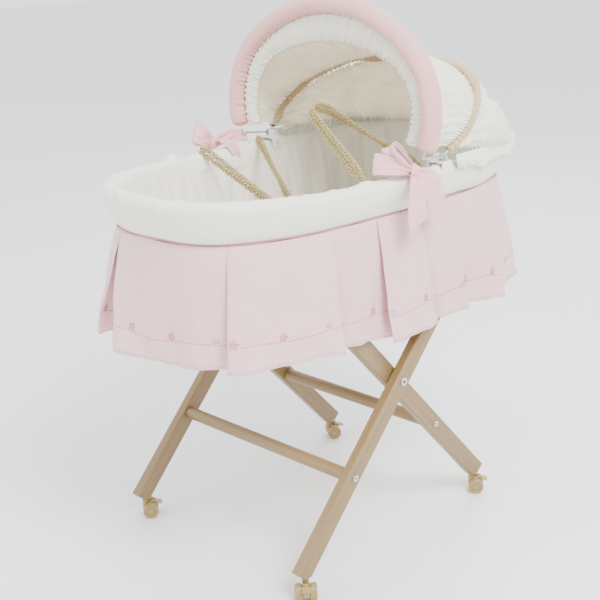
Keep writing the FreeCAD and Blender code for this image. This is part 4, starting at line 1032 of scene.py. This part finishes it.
arch_normal, inward = towards_middle(arch_path, arch_angle)
pad_turn = np.linspace(0, 2 * math.pi, 48, endpoint=False)
run = np.linspace(0, arch_length, arch_steps)[:, None]
seam_side = np.exp(-((1 - np.cos(pad_turn[None, :])) / 0.35) ** 2)
ruche = np.sin(2 * math.pi * run / 0.0095 + 2.6 * dapple(run * 11, run * 0, 61))
pad_size = (pad_radius - 0.0008 - 0.0030 * seam_side + 0.0011 * ruche * seam_side ** 0.6
            + 0.0005 * dapple(run * 16, pad_turn[None, :] * 0.6, 62)
            + 0.0005 * np.sin(2 * math.pi * run / 0.021 + 3 * dapple(run * 7, run * 0, 63))
            * (0.3 + seam_side))
end_round = np.minimum(1, np.minimum(run, arch_length - run) / 0.010)
pad_size = pad_size * np.sqrt(np.clip(1 - (1 - end_round) ** 2, 0.03, 1))
pad_grid = (arch_path[:, None] + inward[:, None] * (np.cos(pad_turn)[None, :, None] * pad_size[..., None])
            + arch_normal[None, None] * (np.sin(pad_turn)[None, :, None] * pad_size[..., None]))
arch_pad = sheet_mesh("padded_arch", pad_grid, arch_cotton, ring=True)
mend(arch_pad)
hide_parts("hood_arch_pad")
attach(arch_pad, "hood_front")

seam_points = arch_path + inward * (pad_radius - 0.0010) + arch_normal * 0.002
seam_points += inward * (0.0006 * np.sin(2 * math.pi * run / 0.0095))
arch_seam = tube_mesh("arch_seam_cord", seam_points[6:-6], 0.0010, rose, sides=6)
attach(arch_seam, "hood_front")


# --- Ruffled facing: gathered ivory cotton between the arch and the opening -----------------------
# A strip gathered hard along both edges; its inner edge is corded and frames the hood's opening.

hood_cotton = cloth("hood_cotton", (0.86, 0.83, 0.655), (0.73, 0.69, 0.50), crease=26.0, crumple=0.35,
                    depth=0.003,
                    glow=0.55)
facing_steps, facing_rows = 1500, 15
outer_line, facing_length = bow_line(0.2235, 0.136, arch_rise, 0.2375, pad_start + 0.004, facing_steps)
inner_line, inner_length = bow_line(0.1935, 0.098, arch_rise, 0.1870, pad_start + 0.010, facing_steps)
facing_run = np.linspace(0, facing_length, facing_steps)
facing_grid = []
for row in range(facing_rows):
    share = row / (facing_rows - 1)
    line = outer_line * (1 - share) + inner_line * share
    points = lean_back(line, arch_angle, arch_base_x, arch_base_z)
    points += arch_normal * (0.006 * share - 0.0055 * math.sin(math.pi * share))
    facing_grid.append(points)
facing_grid = np.array(facing_grid)
share = np.linspace(0, 1, facing_rows)[:, None]
wander = 1.9 * dapple(facing_run[None, :] * 14, share * 0.7, 71)
gather = np.sin(2 * math.pi * facing_run[None, :] / 0.0088 + wander)
broad_gather = np.sin(2 * math.pi * facing_run[None, :] / 0.0155
                      + 2.2 * dapple(facing_run[None, :] * 9, share * 0.9, 72))
facing_height = (0.00125 * gather + 0.0012 * broad_gather) * (0.55 + 0.45 * np.cos(2 * math.pi * share))
facing_height += 0.0009 * dapple(facing_run[None, :] * 22, share * 1.5, 73) * np.sin(math.pi * share)
facing = sheet_mesh("ruffled_facing", swell(facing_grid, facing_height), hood_cotton, thickness=0.0006)
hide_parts("hood_ruffle")
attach(facing, "hood_front")

opening_cord_cotton = cloth("opening_cord", (0.52, 0.52, 0.40), (0.36, 0.36, 0.26), threads=2600,
                            crumple=0.4, depth=0.001)
opening_path = lean_back(inner_line[::3], arch_angle, arch_base_x, arch_base_z) + arch_normal * 0.006
opening_run = np.linspace(0, inner_length, len(opening_path))
opening_cord = tube_mesh("opening_cord", opening_path,
                         0.0017 + 0.00035 * np.sin(2 * math.pi * opening_run / 0.0075),
                         opening_cord_cotton, sides=8)
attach(opening_cord, "hood_front")


# --- Hood cloth: two panels of ivory cotton, seamed over the middle bow ---------------------------
# The front panel runs from the arch to the middle bow and the rear one from there to an elastic hem
# round the rim. Both are gathered into the casing and hang in soft folds when the hood is up.

hood_turn = math.radians(112)


def horseshoe(half, rise, tall, angle, x, z, start, power, steps):
    """One open edge of a hood cloth, in a leaning plane."""
    turn = hood_turn * np.linspace(-1, 1, steps)
    low = (rise - start) / -math.cos(hood_turn)
    side = np.sign(np.sin(turn)) * np.abs(np.sin(turn)) ** power * half
    up = rise + np.cos(turn) * np.where(np.abs(turn) < math.pi / 2, tall - rise, low)
    return np.stack([x + up * math.cos(angle), side, z + up * math.sin(angle)], 1)


panel_steps = 620
cloth_rows = 44
front_edge = horseshoe(0.2365, arch_rise, 0.2485, arch_angle, arch_base_x + 0.010, arch_base_z, 0.014, 1.0,
                       panel_steps)
casing_top = horseshoe(mid_half + 0.001, arch_rise, mid_reach + 0.002, mid_angle, pivot.x - 0.004,
                       pivot.z + 0.005,
                       0.016, 1.0, panel_steps)
along_panel = np.linspace(0, 1, cloth_rows)[:, None, None]
front_grid = front_edge[None] * (1 - along_panel) + casing_top[None] * along_panel
down = np.linspace(0, 1, cloth_rows)[:, None]
round_it = np.linspace(-1, 1, panel_steps)[None, :]
slack = np.sin(math.pi * down)
crown_only = np.clip(1.15 - np.abs(round_it), 0, 1) ** 0.4
front_height = -0.013 * slack * crown_only
front_height = front_height + 0.0045 * slack * dapple(round_it * 3.4 + down * 0.9, down * 0.8, 81)
front_height = front_height + 0.0028 * slack * dapple(round_it * 9 - down * 1.1, down * 1.2, 82)
near_casing = np.exp(-((1 - down) / 0.16) ** 2)
casing_gather = np.sin(2 * math.pi * round_it * 42 + 2.4 * dapple(round_it * 8, down * 0.6, 83))
front_height = front_height + 0.0022 * casing_gather * near_casing + 0.0003 * casing_gather * slack
near_arch = np.exp(-(down / 0.10) ** 2)
arch_gather = np.sin(2 * math.pi * round_it * 60 + 2 * dapple(round_it * 9, down, 84))
front_height = front_height + 0.0014 * arch_gather * near_arch
front_panel = sheet_mesh("hood_front_cloth", swell(front_grid, -front_height), hood_cotton, thickness=0.0007)
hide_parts("hood_front_panel")

casing_low = horseshoe(mid_half + 0.001, arch_rise, mid_reach + 0.002, mid_angle, pivot.x + 0.004,
                       pivot.z - 0.005,
                       0.020, 1.0, panel_steps)
back_half = horseshoe(0.2335, 0.089, 0.277, mid_angle * 0.45, pivot.x, pivot.z, 0.030, 0.90, panel_steps)
hem_edge = horseshoe(0.2300, 0.129, 0.339, math.radians(-1.6), pivot.x, pivot.z, 0.030, 0.75, panel_steps)
first_half = (1 - down[..., None]) * (1 - 2 * down[..., None])
middle = 4 * down[..., None] * (1 - down[..., None])
last_half = down[..., None] * (2 * down[..., None] - 1)
rear_grid = casing_low[None] * first_half + back_half[None] * middle + hem_edge[None] * last_half
rear_height = 0.0050 * slack * dapple(round_it * 3.0 - down * 1.3, down * 1.1, 85)
rear_height = rear_height + 0.0036 * slack * dapple(round_it * 8 + down * 1.7, down * 1.4, 86)
near_top = np.exp(-(down / 0.22) ** 2)
rear_gather = np.sin(2 * math.pi * round_it * 40 + 2.6 * dapple(round_it * 7, down * 0.8, 87))
near_hem = np.exp(-((1 - down) / 0.20) ** 2)
hem_gather = np.sin(2 * math.pi * round_it * 48 + 3.0 * dapple(round_it * 8, down * 0.9, 88))
rear_height = (rear_height + 0.0028 * rear_gather * near_top + 0.0034 * hem_gather * near_hem
               - 0.004 * near_hem)
rear_panel = sheet_mesh("hood_rear_cloth", swell(rear_grid, -rear_height), hood_cotton, thickness=0.0007)
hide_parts("hood_rear_panel")
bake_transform(front_panel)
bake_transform(rear_panel)

# The seam over the middle bow and the casing that hangs inside it, in thin ecru voile.
voile = cloth("ecru_voile", (0.56, 0.43, 0.24), (0.38, 0.27, 0.13), crease=60.0, crumple=0.6, depth=0.003,
              glow=0.1)
casing_steps = 520
casing_line, casing_length = bow_line(mid_half, mid_shoulder, arch_rise, mid_reach, 0.016, casing_steps)
casing_path = lean_back(casing_line, mid_angle, pivot.x, pivot.z)
mid_normal, casing_in = towards_middle(casing_path, mid_angle)
casing_run = np.linspace(0, casing_length, casing_steps)[:, None]
casing_turn = np.linspace(0, 2 * math.pi, 20, endpoint=False)[None, :]
casing_size = (0.0062 + 0.0013 * np.sin(2 * math.pi * casing_run / 0.011
                                        + 3 * dapple(casing_run * 9, casing_run * 0, 91))
               + 0.0045 * np.clip(np.cos(casing_turn), 0, 1)
               * (0.75 + 0.45 * dapple(casing_run * 20, casing_turn * 0.3, 92)))
casing_grid = (casing_path[:, None] + casing_in[:, None]
               * (np.cos(casing_turn)[..., None] * casing_size[..., None])
               + mid_normal[None, None] * (np.sin(casing_turn)[..., None] * casing_size[..., None] * 0.8))
casing = sheet_mesh("mid_bow_casing", casing_grid, voile, ring=True, thickness=0.0005)
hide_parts("hood_mid_casing")
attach(casing, "hood_mid")

# Elastic hem: a frill bunched over the rim outside the hood, from clip to clip round the head end.
frill_steps, frill_rows = 900, 12
frill_turns = np.linspace(math.radians(-83), math.radians(83), frill_steps)
frill_grid = []
for row in range(frill_rows):
    part = row / (frill_rows - 1)
    out = 0.0175 + 0.0035 * math.sin(math.pi * part * 0.9) + 0.003 * (1 - part)
    z = cap_z - 0.020 + 0.032 * part
    x, y = oval(frill_turns, mouth_half[0] + out, mouth_half[1] + out)
    frill_grid.append(np.stack([x, y, np.full_like(x, z)], 1))
frill_grid = np.array(frill_grid)
frill_run = np.concatenate([[0], np.cumsum(np.linalg.norm(np.diff(frill_grid[5], axis=0), axis=1))])[None, :]
part = np.linspace(0, 1, frill_rows)[:, None]
frill_height = 0.0032 * np.sin(2 * math.pi * frill_run / 0.017
                               + 2.8 * dapple(frill_run * 9, part * 0.6, 93)) * (0.35 + 0.65 * (1 - part))
frill_height += 0.0016 * np.sin(2 * math.pi * frill_run / 0.0092
                                + 2.2 * dapple(frill_run * 13, part * 0.8, 94))
frill_grid = swell(frill_grid, frill_height)
frill_grid[..., 2] += 0.0035 * dapple(frill_run * 11, part * 0.3, 95) * (1 - part)
frill = sheet_mesh("hood_hem_frill", frill_grid, ivory, thickness=0.0007)
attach(frill, "basket")


# --- Carrying handles: plaited straw straps -------------------------------------------------------
# Each is two three-strand plaits of maize husk laid side by side and bent into a hairpin. The ends
# come up through the slits in the liner, and the handle swings about them.

straw = dried_leaf(
    "plaited_straw", (0.42, 0.34, 0.13), 0.5, (1600, 60, 1), 3.0, 40.0,
    ((0.27, 0.21, 0.06), (0.52, 0.43, 0.18), (0.40, 0.385, 0.14), (0.07, 0.05, 0.012)),
                   (0.6, 0.9, 0.6, 0.0004),
    coat=0.15)

handle_middle, handle_hinge_y, handle_span, tip_radius = -0.036, 0.197, 0.150, 0.026
handle_z = cap_z + 0.004
plait_pitch, plait_width, plait_depth = 0.0225, 0.0041, 0.0019


def hairpin_line(length, skew, start, count):
    """Even points along the handle's middle line in its own plane, with the outward direction."""
    centre = np.array([skew, length - tip_radius])
    ends = []
    for sign in (-1, 1):
        root = np.array([sign * handle_span / 2, start])
        away = root - centre
        angle = math.atan2(away[1], away[0]) + sign * math.acos(tip_radius / np.linalg.norm(away))
        ends.append((root, angle))
    (left_root, left_angle), (right_root, right_angle) = ends
    bend = np.linspace(left_angle % (2 * math.pi), right_angle, 60)
    arc = centre + tip_radius * np.stack([np.cos(bend), np.sin(bend)], 1)
    line = np.concatenate([[left_root], arc, [right_root]])
    run = np.concatenate([[0], np.cumsum(np.linalg.norm(np.diff(line, axis=0), axis=1))])
    even = np.linspace(0, run[-1], count)
    return np.stack([np.interp(even, run, line[:, 0]), np.interp(even, run, line[:, 1])], 1), run[-1]


def plaited_handle(name, node_name, body, length, skew, angle, side, twists):
    count = 620
    line, long = hairpin_line(length, skew, -0.013, count)
    for _ in range(60):
        line[1:-1] = (line[:-2] + line[1:-1] * 2 + line[2:]) / 4
    lean = math.radians(angle)
    inward_dir = np.array([0, -side * math.cos(lean), math.sin(lean)])
    flat_dir = np.array([1.0, 0, 0])
    start = np.array([handle_middle, side * handle_hinge_y, handle_z])
    path = start + line[:, :1] * flat_dir + line[:, 1:] * inward_dir
    over_rim = line[:, 1] < 0.003
    path[over_rim, 2] = np.minimum(path[over_rim, 2], handle_z + 0.0015)
    across_dir = np.cross(flat_dir, inward_dir)
    ahead_here = np.gradient(path, axis=0)
    ahead_here /= np.linalg.norm(ahead_here, axis=1, keepdims=True)
    out_dir = np.cross(ahead_here, across_dir)
    share = np.linspace(0, 1, count)
    roll_here = np.radians(np.interp(share, *twists))[:, None]
    wide = across_dir * np.cos(roll_here) + out_dir * np.sin(roll_here)
    thick_dir = out_dir * np.cos(roll_here) - across_dir * np.sin(roll_here)
    narrow = np.clip(np.minimum(share, 1 - share) / 0.04, 0.62, 1)[:, None]
    along_it = share * long
    strands = []
    for row in (-1, 1):
        for number in range(3):
            sway = 0.4 * np.sin(along_it * 60 + number)
            phase = 2 * math.pi * (along_it / plait_pitch + number / 3) * row + sway
            sideways = (row * 0.0066 + plait_width * np.sin(phase))[:, None] * narrow
            lifted = (plait_depth * np.sin(2 * phase))[:, None]
            centre = path + wide * sideways + thick_dir * lifted
            blade = 0.00205 * (0.92 + 0.12 * np.sin(along_it * 300 + number * 2))
            strands.append(tube_mesh("plait", centre, blade * (0.55 + 0.45 * narrow[:, 0]), straw, sides=8,
                                     flat=0.56,
                                     up=thick_dir))
    handle = as_one(name, strands)
    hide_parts(node_name)
    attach(handle, body)


plaited_handle("plaited_handle_near", "handle_near", "handle_near", 0.185, -0.011, 31, -1,
               ([0, 0.1, 0.3, 0.5, 0.62, 0.78, 0.92, 1], [0, 4, -8, 6, 30, 52, 20, 0]))
plaited_handle("plaited_handle_far", "handle_far", "handle_far", 0.190, -0.030, -27.5, 1,
               ([0, 0.1, 0.35, 0.55, 0.7, 0.9, 1], [0, 6, 14, -6, -30, -12, 0]))


# --- Ribbon bows: two wide sashes of pink cotton tied round the rim -------------------------------
# Each sash passes over the rim, is knotted outside it, and makes two open loops and two tails with
# slanted, hemmed ends. The cloth is the same both sides and shades deeper inside the loops.

sash = cloth("sash_pink", (0.82, 0.46, 0.50), (0.64, 0.28, 0.33), crease=34.0, crumple=0.5, depth=0.003,
             glow=0.1)


def ribbon(name, spine, wide, width, seed, ripple=0.0012, gathers=5):
    """A strip of cloth along a spine, its width direction and width given at each of its points."""
    count, lanes = 90, 26
    centre = smooth_line(spine, count)
    wide = smooth_line(wide, count)
    wide /= np.linalg.norm(wide, axis=1, keepdims=True)
    width = np.interp(np.linspace(0, 1, count), np.linspace(0, 1, len(width)), width)
    lane = np.linspace(-0.5, 0.5, lanes)
    grid = centre[:, None] + wide[:, None] * (lane[None, :, None] * width[:, None, None])
    tight = np.clip(1 - (width - width.min()) / max(width.max() - width.min(), 1e-6), 0, 1)[:, None]
    down = np.linspace(0, 1, count)[:, None]
    waves = np.sin(2 * math.pi * lane[None, :] * gathers + 1.3 * dapple(down * 2, lane[None, :] * 2, seed))
    lift = ripple * waves * (0.35 + 0.9 * tight) + 0.0016 * dapple(down * 3, lane[None, :] * 1.6, seed + 1)
    return sheet_mesh(name, swell(grid, lift), sash, thickness=0.0008)


def tie_bow(name, node_name, knot, loops, tails, wrap, seed):
    """One bow: knot is its middle, loops are (tip, width direction, opening), tails are spines."""
    parts = []
    knot = np.array(knot)
    for number, (tip, wide, opening, size) in enumerate(loops):
        tip, wide, opening = np.array(tip), np.array(wide, float), np.array(opening, float)
        reach = tip - knot
        spine = [knot, knot + reach * 0.28 + opening * 0.34, knot + reach * 0.62 + opening * 0.5,
                 knot + reach * 0.94 + opening * 0.33, tip, knot + reach * 0.94 - opening * 0.33,
                 knot + reach * 0.62 - opening * 0.5, knot + reach * 0.28 - opening * 0.34, knot]
        widths = [0.012, size * 0.55, size * 0.86, size, size, size, size * 0.86, size * 0.55, 0.012]
        parts.append(ribbon("loop", spine, [wide] * 9, widths, seed + 3 * number))
    for number, (spine, wide, widths) in enumerate(tails):
        parts.append(ribbon("tail", [knot + np.array(p) for p in spine], wide, widths, seed + 20 + number,
                            0.0015, 3))
    parts.append(ribbon("wrap", [knot + np.array(p) for p in wrap], [(1, 0, 0)] * len(wrap),
                        [0.014, 0.020, 0.026, 0.026, 0.022][:len(wrap)], seed + 40))
    turn = np.linspace(0, 2 * math.pi, 40, endpoint=False)[None, :]
    rise = np.linspace(-0.96, 0.96, 24)[:, None]
    swollen = np.sqrt(1 - rise ** 2) * (1 + 0.10 * np.sin(5 * turn + 3 * rise) + 0.05 * np.sin(9 * turn))
    ball = np.stack([knot[0] + 0.0125 * rise + 0 * turn, knot[1] + 0.0095 * swollen * np.cos(turn),
                     knot[2] + 0.0120 * swollen * np.sin(turn)], 2)
    parts.append(sheet_mesh("knot", ball, sash, ring=True))
    tied = as_one(name, parts)
    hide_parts(node_name)
    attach(tied, "basket")


far_y = mouth_half[1] + 0.024
near_y = -far_y
tie_bow(
    "ribbon_bow_near", "bow_near", (-0.018, near_y, cap_z + 0.004),
    [((-0.068, near_y + 0.016, cap_z + 0.051), (0.30, -0.75, 0.45), (0.010, 0.004, 0.012), 0.026),
     ((-0.088, near_y + 0.028, cap_z + 0.024), (0.05, 0.1, 1), (0.003, -0.015, 0.004), 0.036)],
    [([(0, 0, 0), (-0.008, -0.012, -0.018), (-0.014, -0.018, -0.055), (-0.018, -0.024, -0.090)],
      [(1, 0, 0.1), (1, 0, 0.1), (1, -0.1, 0.3), (1, -0.1, 0.6)], [0.014, 0.038, 0.046, 0.047]),
     ([(0, 0, 0), (0.020, -0.010, -0.008), (0.034, -0.015, -0.034), (0.040, -0.021, -0.072)],
      [(0.8, 0, 0.6), (0.9, -0.1, 0.3), (1, -0.1, 0.05), (1, -0.1, -0.25)], [0.014, 0.036, 0.045, 0.046])],
    [(0, 0, 0), (0, 0.016, 0.004), (0.002, 0.030, -0.001), (0.003, 0.042, -0.012), (0.003, 0.044, -0.030)],
        200)
tie_bow(
    "ribbon_bow_far", "bow_far", (-0.048, far_y, cap_z + 0.006),
    [((-0.088, far_y + 0.008, cap_z + 0.034), (0.40, 0.1, 0.95), (0.010, 0.026, 0.0), 0.042),
     ((-0.076, far_y + 0.026, cap_z + 0.020), (0.5, 0.3, 0.9), (0.010, 0.020, 0.0), 0.034)],
    [([(0, 0, 0), (-0.010, 0.012, -0.018), (-0.020, 0.018, -0.055), (-0.026, 0.024, -0.090)],
      [(1, 0, 0.1), (1, 0, 0.1), (1, 0.1, 0.3), (1, 0.1, 0.5)], [0.014, 0.034, 0.044, 0.046]),
     ([(0, 0, 0), (0.022, -0.004, 0.006), (0.048, -0.008, 0.009), (0.078, -0.012, 0.004)],
      [(-0.2, 0.2, 1), (-0.1, 0.3, 1), (0, 0.3, 1), (0, 0.3, 1)], [0.016, 0.024, 0.026, 0.022])],
    [(0, 0, 0), (0.006, -0.016, 0.006), (0.012, -0.030, 0.002), (0.018, -0.042, -0.010),
     (0.020, -0.044, -0.028)], 300)
